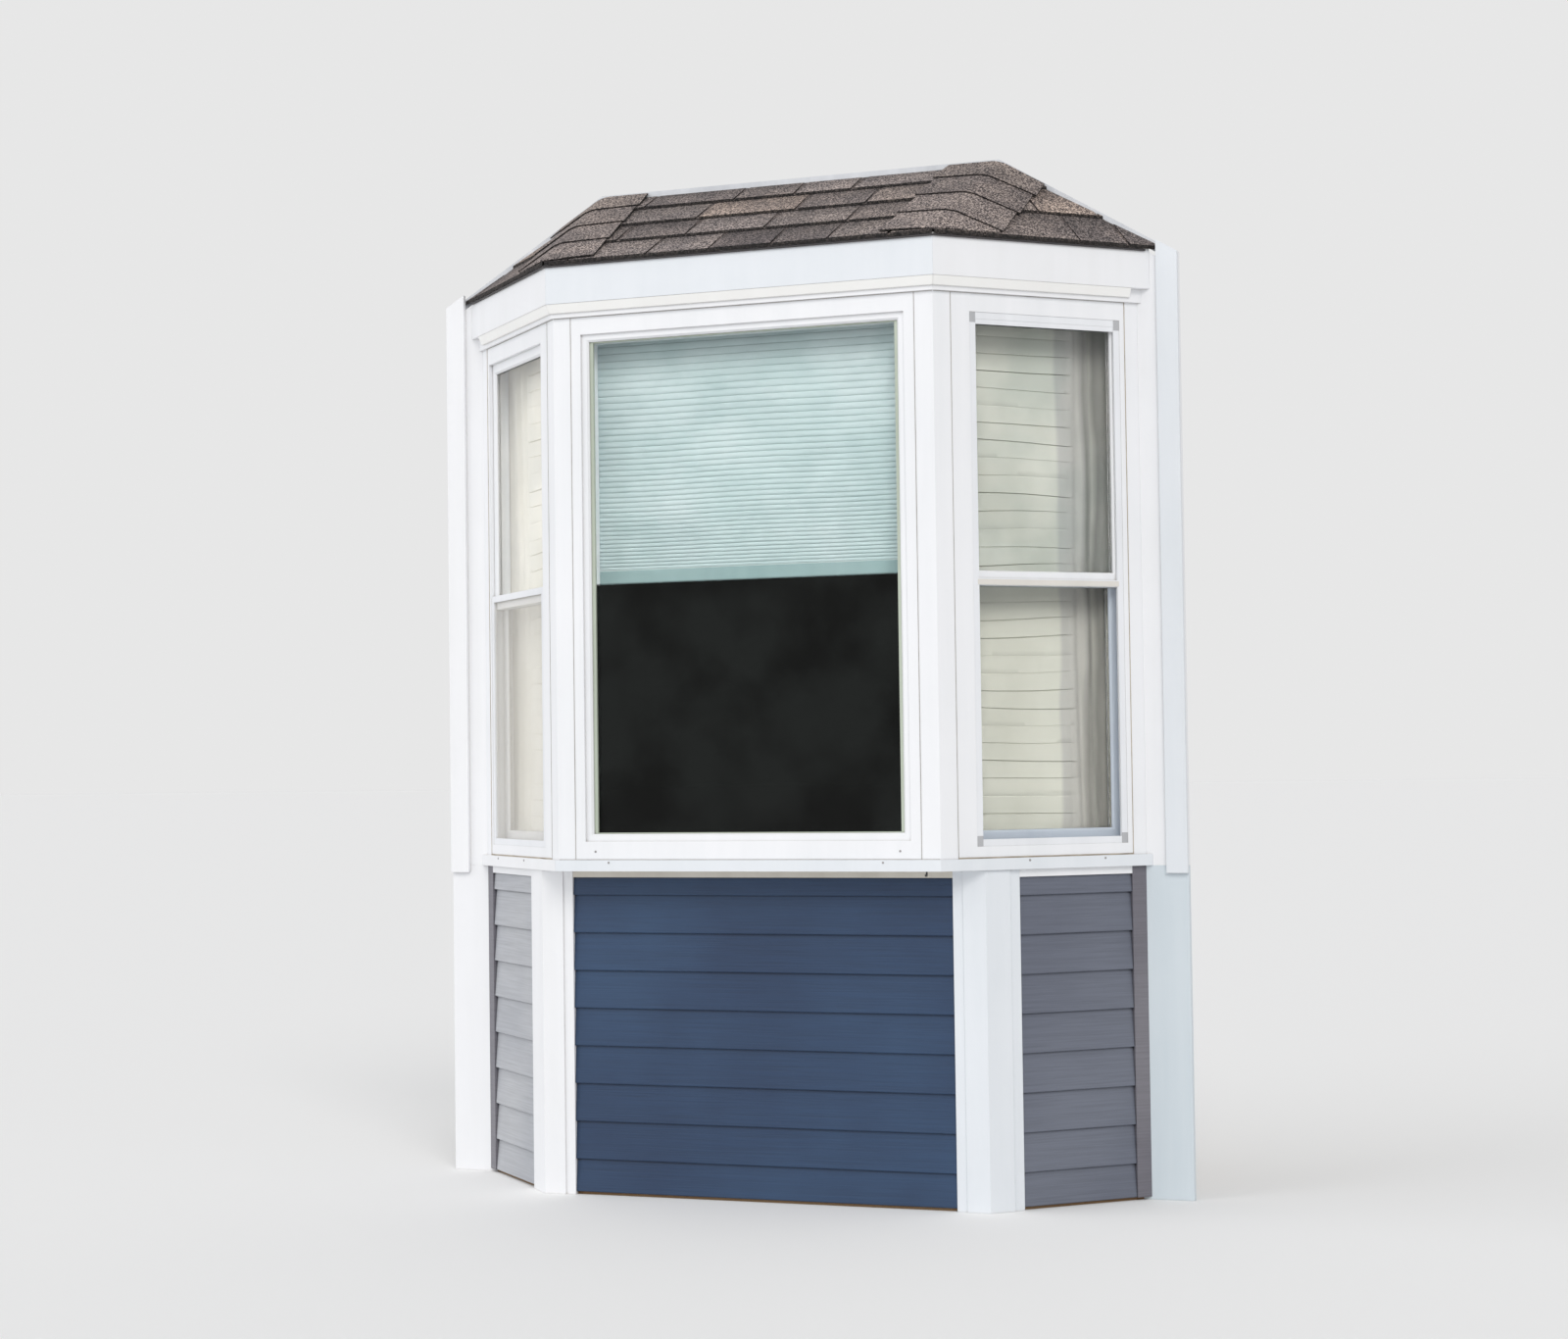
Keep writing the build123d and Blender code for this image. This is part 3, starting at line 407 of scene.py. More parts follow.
def cloth_finish(name, light, dark, deep, threads, clouding, sheer=False):
    """Woven cloth: screen colours, threads a metre, cloudiness, and perhaps a sheer end."""
    tree, shader, place = new_finish(name, 0.86)
    cut = node(tree, "UVMap", uv_map="cut").outputs["UV"]
    wave = {"Vector": cut, "Scale": threads * WAVE_TURN, "Distortion": 0.6, "Detail": 1.0}
    across, down = (node(tree, "TexWave", wave, bands_direction=way).outputs["Fac"] for way in "XY")
    weave = math_node(tree, "MULTIPLY", across, down)
    clouds = noise(tree, place, clouding, 4.0, 0.55)
    colour = ramp(tree, clouds, [(0.36, shown(*dark)), (0.64, shown(*light))])
    colour = shaded(tree, colour, weave, [(0.0, grey(0.93)), (0.7, grey(1.02))])
    if sheer:
        across_cut = node(tree, "SeparateXYZ", {"Vector": cut}).outputs["X"]
        wander = math_node(tree, "MULTIPLY", noise(tree, place, 4.0, 2.0), SHEER_WANDER)
        line = math_node(tree, "ADD", across_cut, wander)
        share = node(tree, "MapRange", {"Value": line, "From Min": SHEER_FROM, "From Max": CLOTH_END})
        colour = shaded(tree, colour, share.outputs[0], SHEER_TONES)
    # Painted shade in the creases and folds of the cloth, by ambient occlusion.
    colour = crevice_shade_and_dirt(tree, colour, 0.008, shown(*deep))
    shader.inputs["Sheen Weight"].default_value = 0.15
    surfaced(tree, shader, colour, weave, 0.0002)


# %% Cloths
PAPER_THREADS = 700
COTTON_THREADS = 1100
PAPER_CLOUDS = (5.0, 5.0, 8.0)
COTTON_CLOUDS = (5.0, 5.0, 2.5)
shade_tones = ((205, 219, 222), (188, 205, 208), (150, 172, 174))
cream_tones = ((216, 216, 207), (203, 203, 193), (190, 188, 180))
sunlit_tones = ((252, 248, 240), (243, 239, 229), (226, 223, 214))

cloth_finish("shade_cloth", *shade_tones, PAPER_THREADS, PAPER_CLOUDS)
cloth_finish("curtain_cloth", *cream_tones, COTTON_THREADS, COTTON_CLOUDS, sheer=True)
cloth_finish("sunlit_cloth", *sunlit_tones, COTTON_THREADS, COTTON_CLOUDS)

# %% [markdown]
# ## Tools for modelling
# A piece starts as a primitive at its size and place, is shaped in edit mode, and ends at the origin with its
# place in its mesh. Each step could be written out, but short helpers keep the steps the same, and what
# repeats is modelled once and copied.


# %% Start and shape a piece
def select_only(piece):
    bpy.ops.object.select_all(action="DESELECT")
    piece.select_set(True)
    bpy.context.view_layer.objects.active = piece


def start_box(name, low, high):
    """A box from its lowest to its highest corner."""
    low, high = Vector(low), Vector(high)
    bpy.ops.mesh.primitive_cube_add(size=1.0, location=(low + high) / 2, scale=high - low)
    piece = bpy.context.object
    piece.name = name
    bpy.ops.object.transform_apply()
    return piece


def edit_all(piece, tool, **settings):
    """Runs an edit mode tool on the whole piece."""
    select_only(piece)
    bpy.ops.object.mode_set(mode="EDIT")
    bpy.ops.mesh.select_all(action="SELECT")
    tool(**settings)
    bpy.ops.object.mode_set(mode="OBJECT")


def modified(piece, kind, **settings):
    """Gives a piece a modifier with these settings and applies it."""
    select_only(piece)
    modifier = piece.modifiers.new("step", kind)
    for name, value in settings.items():
        setattr(modifier, name, value)
    bpy.ops.object.modifier_apply(modifier=modifier.name)


def soften(piece, width, segments=1):
    """Bevels every edge a little."""
    modified(piece, "BEVEL", width=width, segments=segments, limit_method="ANGLE")


def soft_box(name, low, high, edge, segments=2, play=0.0):
    """A box with softened edges, drawn in by `play` on every side."""
    piece = start_box(name, [value + play for value in low], [value - play for value in high])
    soften(piece, edge, segments)
    return piece


def trim(piece, cuts):
    """Cuts away what lies beyond planes, each a point and a direction outwards, and closes the cuts."""
    for point, outwards in cuts:
        if len(piece.data.polygons):
            edit_all(piece, bpy.ops.mesh.bisect, plane_co=point, plane_no=outwards, use_fill=True,
                     clear_outer=True)


# %% Copy, join and dress pieces
MIRROR = Matrix.Scale(-1, 4, (1, 0, 0))


def copy_of(piece, name):
    """A copy with its own mesh."""
    twin = piece.copy()
    twin.data = piece.data.copy()
    twin.name = name
    bpy.context.collection.objects.link(twin)
    return twin


def mirror(piece):
    """Moves a piece to the other side of the bay, its faces turned outwards again."""
    piece.data.transform(MIRROR)
    piece.data.flip_normals()


def mirrored(piece, name):
    twin = copy_of(piece, name)
    mirror(twin)
    return twin


def joined(pieces, name):
    """Joins pieces into one object."""
    select_only(pieces[0])
    for piece in pieces:
        piece.select_set(True)
    bpy.ops.object.join()
    pieces[0].name = name
    return pieces[0]


def painted(piece, finish):
    piece.data.materials.clear()
    piece.data.materials.append(finishes[finish])


def dressed(piece, finish, slot, *stands_for):
    """Gives a piece its material and its body, and hides the nodes it stands for. Its slot is not used."""
    painted(piece, finish)
    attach(piece, "root")
    if stands_for:
        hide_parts(*stands_for)
    print(piece.name, len(piece.data.polygons), "faces")


def both_sides(pieces, name, finish, slot, *stands_for):
    """Joins pieces of the right half, makes a mirrored twin for the left, and dresses both."""
    right = joined(pieces, "right_" + name)
    for side, piece in (("right_", right), ("left_", mirrored(right, "left_" + name))):
        dressed(piece, finish, slot, *[side + plain for plain in stands_for])


# %% [markdown]
# ## Where the faces lie
# The picture window faces the front, and each flanker is turned by 45 degrees. Places could be typed in, but
# read off the CAD boxes they follow when a size changes. A small piece is made flat: X along its face, Y into
# the bay and Z up. FRONT or FLANK then stands it on the picture window's or the right flanker's face.

# %% Face coordinates
FLANK_TURN = math.radians(45)
POST_FACE = 0.051
UP = Vector((0, 0, 1))
BACK = Vector((0, 1, 0))
wall_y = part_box("wall_flashing")[1][1]
front_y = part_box("centre_frame")[0][1]
fold_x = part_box("right_corner_post")[0][0] + POST_FACE
seat_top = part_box("seat_board")[1][2]
window_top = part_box("head_board")[0][2]
FRONT = Matrix.Translation((0, front_y, 0))
FLANK = Matrix.Translation((fold_x, front_y, 0)) @ Matrix.Rotation(FLANK_TURN, 4, "Z")
print("front face y", front_y, "fold x", fold_x, "wall y", wall_y)


def between(ends, share):
    """The value that lies at a share, 0 to 1, of the way between two ends."""
    return ends[0] + (ends[1] - ends[0]) * share


def square_to(axis, way):
    """The part of a direction that is square to an axis, one metre long."""
    return (way - axis * way.dot(axis)).normalized()


# %% [markdown]
# ## Shingle tabs
# A laminated shingle is a strip with a second layer of broad tabs glued on. A pattern on a plain slope would
# show the tabs but not their thick lower edges, so each course is made as it is laid: one thin strip across
# the slope, and on it tabs of uneven width with gaps between them. The work is done flat, in slope
# coordinates, and cut to the slope's outline by planes through the hips and the back. A matrix then lays it
# on the roof.

# %% Slopes
EXPOSURE = 0.143
ROOF_RISE = 0.267
RIDGE_HALF = 0.590
BACK_GAP = 0.004
shingle_low, shingle_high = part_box("shingles_front")
eave_y = shingle_low[1]
eave_z = shingle_low[2]
eave_half = -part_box("left_shingles")[1][0]
eave_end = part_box("right_shingles")[1][0]


def slope_matrix(start, along_to, top):
    """Its columns are one metre along the eave, one up the slope, one straight up, and the start."""
    along = (along_to - start).normalized()
    columns = [(*along, 0), (*square_to(along, top - start), 0), (*UP, 0), (*start, 1)]
    return Matrix(columns).transposed()


front_right = Vector((eave_half, eave_y, eave_z))
front_left = MIRROR @ front_right
side_end = Vector((eave_end + wall_y - shingle_high[1], wall_y, eave_z))
hip_top = Vector((RIDGE_HALF, wall_y, eave_z + ROOF_RISE))
front_slope = slope_matrix(front_left, front_right, hip_top)
side_slope = slope_matrix(front_right, side_end, hip_top)
print("eave half", eave_half, "eave z", eave_z, "side eave end", tuple(side_end))

# %% One tab, made once
SHADOW_BAND = 0.60
SHADOW_FROM = 0.3
EDGE_TONE = 0.14
random.seed(7)
slab = start_box("shingle_slab", (0, 0, 0), (1, 1, 1))
edit_all(slab, bpy.ops.mesh.subdivide, number_cuts=2)


def paint_tones(piece, tone, outwards, band=0.0, rows=(0.0, 1.0)):
    """Tones the faces that look outwards, with a shadow band up the rows, and darkens the cut edges."""
    layer = piece.data.color_attributes.new(name="tab_tone", type="FLOAT_COLOR", domain="CORNER")
    for face in piece.data.polygons:
        for corner in face.loop_indices:
            up = piece.data.vertices[piece.data.loops[corner].vertex_index].co.y - rows[0]
            lit = 1.0 - band * max(up / (rows[1] - rows[0]) - SHADOW_FROM, 0.0)
            level = lit if face.normal.dot(outwards) > 0.5 else EDGE_TONE
            layer.data[corner].color = (*[level * c for c in tone], 1.0)


def laid(name, span, rows, bottom, thick, tone, slant=0.0):
    """The slab laid over a span along the eave and rows up the slope. Its bottom and thickness are given at
    its lower and upper edge, and a slant narrows it upwards."""
    piece = copy_of(slab, name)
    for vertex in piece.data.vertices:
        u, v, w = vertex.co
        x = between(span, u) + slant * v * (1 - 2 * u)
        vertex.co = (x, between(rows, v), between(bottom, v) + between(thick, v) * w)
    piece.data.update()
    paint_tones(piece, tone, UP, SHADOW_BAND, rows)
    return piece


print("slab with", len(slab.data.polygons), "faces")

# %% Courses on a slope
BLENDS = [(1.00, 0.98, 0.97), (0.74, 0.72, 0.73), (1.22, 1.16, 1.10), (0.88, 0.85, 0.84), (1.12, 1.10, 1.10),
          (0.60, 0.58, 0.60), (1.34, 1.24, 1.14)]
STRIP_TONE = (0.62, 0.58, 0.57)
STRIP_BOTTOM = (0.0003, 0.0003)
STRIP_THICK = (0.0050, 0.0010)
TAB_BOTTOM = [low + thick for low, thick in zip(STRIP_BOTTOM, STRIP_THICK)]
TAB_THICK = (0.0055, 0.0012)
TAB_WIDE = (0.14, 0.28)
TAB_GAP = (0.004, 0.012)
TAB_SLANT = 0.008
TAB_UNEVEN = 0.0006
FIRST_SHIFT = 0.12
SMALLEST_TAB = 0.02


def lay_courses(name, left, right, length, cuts):
    """Strips and tabs over a slope, cut by planes in slope coordinates."""
    pieces = []
    for course in range(math.ceil(length / EXPOSURE)):
        low = course * EXPOSURE
        rows = (low, min(low + EXPOSURE, length))
        pieces.append(laid("strip", (left, right), rows, STRIP_BOTTOM, STRIP_THICK, STRIP_TONE))
        place = left - random.uniform(0.0, FIRST_SHIFT)
        while place < right:
            width = random.uniform(*TAB_WIDE)
            span = (max(place, left), min(place + width, right))
            if span[1] - span[0] > SMALLEST_TAB:
                tone = random.choice(BLENDS)
                slant = random.uniform(0.0, TAB_SLANT)
                lift = random.uniform(0.0, TAB_UNEVEN)
                thick = [edge - lift for edge in TAB_THICK]
                pieces.append(laid("tab", span, rows, TAB_BOTTOM, thick, tone, slant))
            place += width + random.uniform(*TAB_GAP)
    for piece in pieces:
        trim(piece, cuts)
    return joined(pieces, name)


# %% Lay the three slopes
HIP_SPARE = 0.004
END_SPARE = 0.05
front_length = math.hypot(wall_y - eave_y, ROOF_RISE)
front_width = 2 * eave_half
lean = (RIDGE_HALF - eave_half) / front_length
back_line = front_length * (1 - BACK_GAP / (wall_y - eave_y))
front_cuts = [
    ((front_width - HIP_SPARE, 0, 0), (1, -lean, 0)),
    ((HIP_SPARE, 0, 0), (-1, -lean, 0)),
    ((0, back_line, 0), (0, 1, 0)),
]
front_tabs = lay_courses("front_shingle_tabs", -END_SPARE, front_width + END_SPARE, front_length, front_cuts)
front_tabs.data.transform(front_slope)

hip_local = side_slope.inverted() @ hip_top
side_width = (side_end - front_right).length
inner = Vector((hip_local.y, -hip_local.x, 0))
outer = Vector((hip_local.y, side_width - hip_local.x, 0)).normalized()
side_cuts = [
    ((HIP_SPARE, 0, 0), -inner),
    (Vector((side_width, 0, 0)) - outer * BACK_GAP, outer),
]
side_tabs = lay_courses("right_shingle_tabs", 0.0, side_width, hip_local.y, side_cuts)
side_tabs.data.transform(side_slope)
left_side_tabs = mirrored(side_tabs, "left_shingle_tabs")
bpy.data.objects.remove(slab)

dressed(front_tabs, "shingle_brown", "shingle_brown", "shingles_front")
dressed(side_tabs, "shingle_brown", "shingle_brown", "right_shingles")
dressed(left_side_tabs, "shingle_brown", "shingle_brown", "left_shingles")

# %% [markdown]
# ## Hip caps
# Where two slopes meet, single shingles are folded over the hip and lapped like the courses. Each could be a
# bent box, but a fold is easier in a sheet: a plane is subdivided, and one half is laid on the front slope
# and the other on the side slope. Bevelling the middle edges makes the fold round, and Solidify gives the
# thickness.

# %% One folded cap
CAP_LEG = 0.150
CAP_THICK = 0.0036
CAP_TILT = 0.0045
CAP_TAPER = 0.07
CAP_LAP = 1.02
FOLD_ROUND = 0.022
NEAR_HIP = 0.02
BUTT_RISE = 0.009
hip_base = front_right + UP * BUTT_RISE
hip_way = (hip_top - front_right).normalized()
side_along = (side_end - front_right).normalized()
front_leg = square_to(hip_way, Vector((-1, 0, 0)))
side_leg = square_to(hip_way, side_along)
ridge_normal = -(front_leg + side_leg).normalized()


def make_cap(distance, tone):
    """One cap `distance` up the right hip: a bevelled fold, solidified outwards."""
    bpy.ops.mesh.primitive_plane_add(size=1.0)
    cap = bpy.context.object
    edit_all(cap, bpy.ops.mesh.subdivide, number_cuts=1)
    for vertex in cap.data.vertices:
        across, up = vertex.co.x, vertex.co.y + 0.5
        leg = side_leg * across if across > 0 else front_leg * -across
        lift = ridge_normal * (CAP_TILT * (1 - up))
        reach = 2 * CAP_LEG * (1 - CAP_TAPER * up)
        vertex.co = hip_base + hip_way * (distance + EXPOSURE * CAP_LAP * up) + leg * reach + lift
    bpy.ops.object.mode_set(mode="EDIT")
    bpy.ops.mesh.select_mode(type="EDGE")
    bpy.ops.mesh.select_all(action="DESELECT")
    bpy.ops.object.mode_set(mode="OBJECT")
    for edge in cap.data.edges:
        ends = [cap.data.vertices[index].co - hip_base for index in edge.vertices]
        edge.select = all(hip_way.cross(end).length < NEAR_HIP for end in ends)
    bpy.ops.object.mode_set(mode="EDIT")
    bpy.ops.mesh.bevel(offset=FOLD_ROUND, segments=5)
    bpy.ops.mesh.select_mode(type="VERT")
    bpy.ops.object.mode_set(mode="OBJECT")
    upwards = cap.data.polygons[0].normal.z > 0
    modified(cap, "SOLIDIFY", thickness=CAP_THICK, offset=1.0 if upwards else -1.0)
    paint_tones(cap, tone, ridge_normal)
    return cap


# %% Caps up both hips
CAP_TONES = [(1.06, 1.03, 1.02), (0.98, 0.95, 0.94), (0.86, 0.83, 0.82), (1.02, 0.98, 0.94)]
EAVE_SPARE = 0.0004
cap_cuts = [
    (front_right + BACK * EAVE_SPARE, -BACK),
    (front_right, Vector((side_along.y, -side_along.x, 0))),
    (BACK * (wall_y - BACK_GAP), BACK),
]
hip_length = (hip_top - front_right).length
caps = []
for index in range(math.ceil(hip_length / EXPOSURE)):
    cap = make_cap(index * EXPOSURE, CAP_TONES[index % len(CAP_TONES)])
    trim(cap, cap_cuts)
    caps.append(cap)
both_sides(caps, "hip_cap_shingles", "shingle_brown", "shingle_brown", "hip_caps")

# %% [markdown]
# ## The pleated shade
# The shade is one long strip of cloth, folded forwards and back and hung between two slim rails. It could be
# an extruded zigzag, but real pleats open unevenly and sag. So it is a fine grid whose points are placed by a
# formula: every pleat follows one shape, they crowd towards the foot, and slow waves shift them.

# %% A cloth from a formula
SHARP_FOLD = 40
MEASURED_AT = 0.2


def measured(points):
    return sum((b - a).length for a, b in zip(points, points[1:]))


def hung_cloth(name, columns, rows, place_of, thick):
    """A grid whose points (u, v), 0 to 1 across and up, are put where `place_of` says, and its flat size."""
    middle_row = [place_of(i / columns, 0.5) for i in range(columns + 1)]
    one_column = [place_of(MEASURED_AT, i / rows) for i in range(rows + 1)]
    flat = (measured(middle_row), measured(one_column))
    bpy.ops.mesh.primitive_grid_add(x_subdivisions=columns, y_subdivisions=rows, size=1.0, calc_uvs=True)
    cloth = bpy.context.object
    cloth.name = name
    cut = cloth.data.uv_layers[0]
    cut.name = "cut"
    for corner in cut.data:
        corner.uv = (corner.uv[0] * flat[0], corner.uv[1] * flat[1])
    for vertex in cloth.data.vertices:
        vertex.co = place_of(vertex.co.x + 0.5, vertex.co.y + 0.5)
    cloth.data.update()
    modified(cloth, "SOLIDIFY", thickness=thick, offset=0.0)
    bpy.ops.object.shade_smooth_by_angle(angle=math.radians(SHARP_FOLD))
    print(name, "is cut", flat, "m")
    return cloth, flat


# %% Pleats
PLEAT_PITCH = 0.0150
PLEAT_DEPTH = 0.0016
PLEAT_SHAPE = ((0.0, 0.0), (0.30, 0.9), (0.60, 1.0), (0.84, 0.7), (0.92, -0.7))
PLEAT_INSIDE = 0.006
PLEAT_COLUMNS = 24
CROWDED = 0.62
SAG = 0.0016
SWAY = 0.0008
PAPER_THICK = 0.0007
SHADE_HEAD = 0.030
SHADE_RAIL = 0.040
SHADE_LAP = 0.009
shade_sides = (shade_low[0] - SHADE_LAP, shade_high[0] + SHADE_LAP)
shade_span = (shade_low[2] + SHADE_RAIL, shade_high[2] - SHADE_HEAD)
pleats = round((shade_span[1] - shade_span[0]) / PLEAT_PITCH)
pleat_rows = pleats * len(PLEAT_SHAPE)


def pleat_place(u, v):
    """Each pleat follows one shape, and the pleats lie closer together towards the foot."""
    pleat, row = divmod(round(v * pleat_rows), len(PLEAT_SHAPE))
    share, forward = PLEAT_SHAPE[row]
    up = (pleat + share) / pleats
    up = CROWDED * up + (1 - CROWDED) * up * up
    sag = SAG * math.sin(math.pi * u * 3) * math.sin(math.pi * v)
    sway = SWAY * math.sin(9 * u + 5 * v) * math.sin(math.pi * v)
    inside = shade_low[1] + PLEAT_INSIDE - PLEAT_DEPTH * forward + sway
    return Vector((between(shade_sides, u), inside, between(shade_span, up) - sag))


shade, shade_cut = hung_cloth("shade_pleats", PLEAT_COLUMNS, pleat_rows, pleat_place, PAPER_THICK)

# %% Rails of the shade
RAIL_DEEP = 0.022
FOOT_EDGE = 0.00100
HEAD_EDGE = 0.00125
EDGES_OF_PLAY = 4 / 3
smooth_finish("shade_rail", (148, 171, 173), (136, 160, 162), 0.45, 0.001, 0.0008)


def slim_rail(name, low, high, edge):
    """A rail across the shade, with a little play all round."""
    near = shade_low[1]
    corners = ((shade_sides[0], near, low), (shade_sides[1], near + RAIL_DEEP, high))
    return soft_box(name, *corners, edge, play=EDGES_OF_PLAY * edge)


foot_rail = slim_rail("shade_foot_rail", shade_low[2], shade_span[0], FOOT_EDGE)
head_rail = slim_rail("shade_head_rail", shade_span[1], shade_high[2], HEAD_EDGE)
dressed(shade, "shade_cloth", "shade_cloth", "pleated_shade")
dressed(foot_rail, "shade_rail", "shade_cloth")
dressed(head_rail, "shade_rail", "shade_cloth")

# %% [markdown]
# ## The curtains
# Each flanker has a thin curtain inside. Most of it hangs nearly flat, with a narrow tuck sewn across every
# 46 mm, and its end at the back is gathered into upright folds. Cloth simulation would give folds too, but
# not in these places, so this is a formula again: a small crease at each tuck, and waves across the cloth
# that grow towards the gathered end, which turns back to the frame.

# %% Tucks and folds
TUCK_PITCH = 0.046
TUCK_DEPTH = 0.0030
TUCK_ROWS = (0.0, 0.3, 0.6, 0.86, 0.93, 0.965)
CREASE_AT = 0.965
CREASE_HALF = 0.035
FOLD_DEPTH = 0.0080
FOLDS = 3
FOLD_WANDER = 1.8
BOW_ACROSS = 0.0022
BOW_DOWN = 0.0014
TUCK_DIP = 0.006
TUCK_SWAY = 0.009
CURTAIN_START = 0.100
CURTAIN_WIDE = 0.463
CURTAIN_INSIDE = 0.089
GATHER_FROM = 0.70
GATHER_OVER = 0.10
RETURN_FROM = 0.88
RETURN = 0.0178
curtain_span = [corner[2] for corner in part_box("right_curtain")]
tucks = round((curtain_span[1] - curtain_span[0]) / TUCK_PITCH)
tuck_rows = tucks * len(TUCK_ROWS)


def smooth_step(value):
    value = min(max(value, 0.0), 1.0)
    return value * value * (3 - 2 * value)


def curtain_place(phase):
    """The formula for one curtain; the phase shifts its waves, so that no two are alike."""

    def place_of(u, v):
        gathered = smooth_step((u - GATHER_FROM) / GATHER_OVER)
        turned = smooth_step((u - RETURN_FROM) / (1 - RETURN_FROM))
        bow = BOW_ACROSS * math.sin(7 * u + phase) + BOW_DOWN * math.sin(11 * v + 3 * phase)
        turn = math.tau * FOLDS * (u - GATHER_FROM) / (1 - GATHER_FROM)
        folds = FOLD_DEPTH * math.sin(turn + FOLD_WANDER * math.sin(math.pi * v) + phase)
        swell = (0.75 + 0.25 * math.sin(5 * v + phase)) * (1 - turned)
        tuck, row = divmod(round(v * tuck_rows), len(TUCK_ROWS))
        share = TUCK_ROWS[row]
        deep = TUCK_DEPTH * (0.65 + 0.35 * math.sin(1.7 * tuck + 2 * phase))
        crease = deep * max(1 - abs(share - CREASE_AT) / CREASE_HALF, 0.0)
        inside = (bow + crease) * (1 - gathered) + folds * gathered * swell - RETURN * turned
        dip = TUCK_DIP * math.sin(4 * u + 9 * v + phase)
        sway = TUCK_SWAY * math.sin(2.1 * tucks * v + phase) * (u - 0.3)
        height = between(curtain_span, (tuck + share) / tucks) + (dip + sway) * math.sin(math.pi * v)
        return Vector((CURTAIN_START + CURTAIN_WIDE * u, CURTAIN_INSIDE + inside, height))

    return place_of


# %% Hang the curtains
COTTON_THICK = 0.0006
CURTAIN_COLUMNS = 110

for side, phase, finish in (("right", 0.6, "curtain_cloth"), ("left", 2.3, "sunlit_cloth")):
    name = side + "_curtain_cloth"
    curtain, curtain_cut = hung_cloth(name, CURTAIN_COLUMNS, tuck_rows, curtain_place(phase), COTTON_THICK)
    curtain.data.transform(FLANK)
    if side == "left":
        mirror(curtain)
    dressed(curtain, finish, "curtain_cloth", side + "_curtain")

# %% [markdown]
# ## The insect screen
# The left flanker has a half screen. Its net is woven from wires 0.15 mm thick, 1.6 mm apart. It could be a
# transparent texture, but real wires look right at any distance. One four-sided wire is made each way, and an
# Array modifier repeats it across the opening.

# %% Wires
WIRE = 0.00015
WIRE_PITCH = 0.0016
WIRE_LAP = 0.003
NET_INSIDE = 0.0055
SCREEN_RAIL = 0.018
SCREEN_DEEP = 0.008
SCREEN_START = 0.106
screen_low, screen_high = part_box("left_screen")
across_screen = screen_high[0] - screen_low[0] - SCREEN_DEEP * math.sin(FLANK_TURN)
SCREEN_END = SCREEN_START + across_screen / math.cos(FLANK_TURN)
net_left, net_right = SCREEN_START + SCREEN_RAIL, SCREEN_END - SCREEN_RAIL
net_low, net_high = screen_low[2] + SCREEN_RAIL, screen_high[2] - SCREEN_RAIL
# Near-white wires: painted sunlight on the net.
smooth_finish("net_painted_sunlight", (252, 250, 244), (246, 243, 236), 0.45, 0.0005)


def wires(name, low, high, axis, room):
    """One thin square wire, repeated along an axis by an Array until it fills the room."""
    wire = start_box(name, low, high)
    step = [WIRE_PITCH if i == axis else 0.0 for i in range(3)]
    modified(wire, "ARRAY", count=int(room / WIRE_PITCH), use_relative_offset=False,
             use_constant_offset=True, constant_offset_displace=step)
    return wire


upright = wires("upright", (net_left, NET_INSIDE, net_low - WIRE_LAP),
                (net_left + WIRE, NET_INSIDE + WIRE, net_high + WIRE_LAP), 0, net_right - net_left)
level = wires("level", (net_left - WIRE_LAP, NET_INSIDE + WIRE, net_low),
              (net_right + WIRE_LAP, NET_INSIDE + 2 * WIRE, net_low + WIRE), 2, net_high - net_low)
net = joined([upright, level], "left_insect_net")
net.data.transform(FLANK)
mirror(net)
dressed(net, "net_painted_sunlight", "screen_frame")

# %% [markdown]
# ## Seams, sealant and nails
# White trim looks real through its joints. Each joint is a thin bead of old sealant, which could be a plain
# bar but is never that even: a long box is divided finely, and its points stray by a fraction of a
# millimetre. The nails are flat discs with a softened rim.

# %% Beads of sealant
BEAD_WIDE = 0.0016
BEAD_PROUD = 0.0006
BEAD_IN = 0.001
BEAD_STEP = 0.03
BEAD_SPARE = 0.002
STRAY = 0.0002
random.seed(11)
smooth_finish("sealant", (206, 204, 202), (186, 182, 177), 0.6, 0.001)
smooth_finish("sealant_dirty", (214, 205, 190), (176, 160, 140), 0.7, 0.001)


def bead(face, low, high, stray=STRAY):
    """A bead whose points stray a little from its longest side, stood on a face."""
    piece = start_box("bead", low, high)
    longest = max(range(3), key=lambda i: high[i] - low[i])
    cuts = max(2, int((high[longest] - low[longest]) / BEAD_STEP))
    edit_all(piece, bpy.ops.mesh.subdivide, number_cuts=cuts)
    for vertex in piece.data.vertices:
        for axis in range(3):
            if axis != longest:
                vertex.co[axis] += random.uniform(-stray, stray)
    piece.data.transform(face)
    return piece


def upright_bead(face, along):
    low = (along - BEAD_WIDE / 2, -BEAD_PROUD, seat_top + BEAD_IN)
    return bead(face, low, (along + BEAD_WIDE / 2, BEAD_IN, window_top - BEAD_IN))


def level_bead(face, start, end, low):
    return bead(face, (start, -BEAD_PROUD, low), (end, BEAD_IN, low + BEAD_WIDE))


# %% Beads in place
DIRTY_IN = 0.002
SILL_PROUD = 0.0012
SILL_TALL = 0.0032
SILL_STRAY = 0.0006
END_PROUD = 0.0008
END_STRAY = 0.0003
frame_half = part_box("centre_frame")[1][0]
flank_end = (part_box("right_casing_board")[0][0] - fold_x) / math.cos(FLANK_TURN)
head_joint = window_top - BEAD_WIDE
clean_beads = [
    upright_bead(FRONT, frame_half),
    level_bead(FRONT, 0, fold_x - BEAD_SPARE, head_joint),
    level_bead(FRONT, 0, fold_x - BEAD_SPARE, seat_top),
    upright_bead(FLANK, POST_FACE),
    level_bead(FLANK, BEAD_SPARE, flank_end, head_joint),
]
both_sides(clean_beads, "sealant_beads", "sealant", "white_trim")

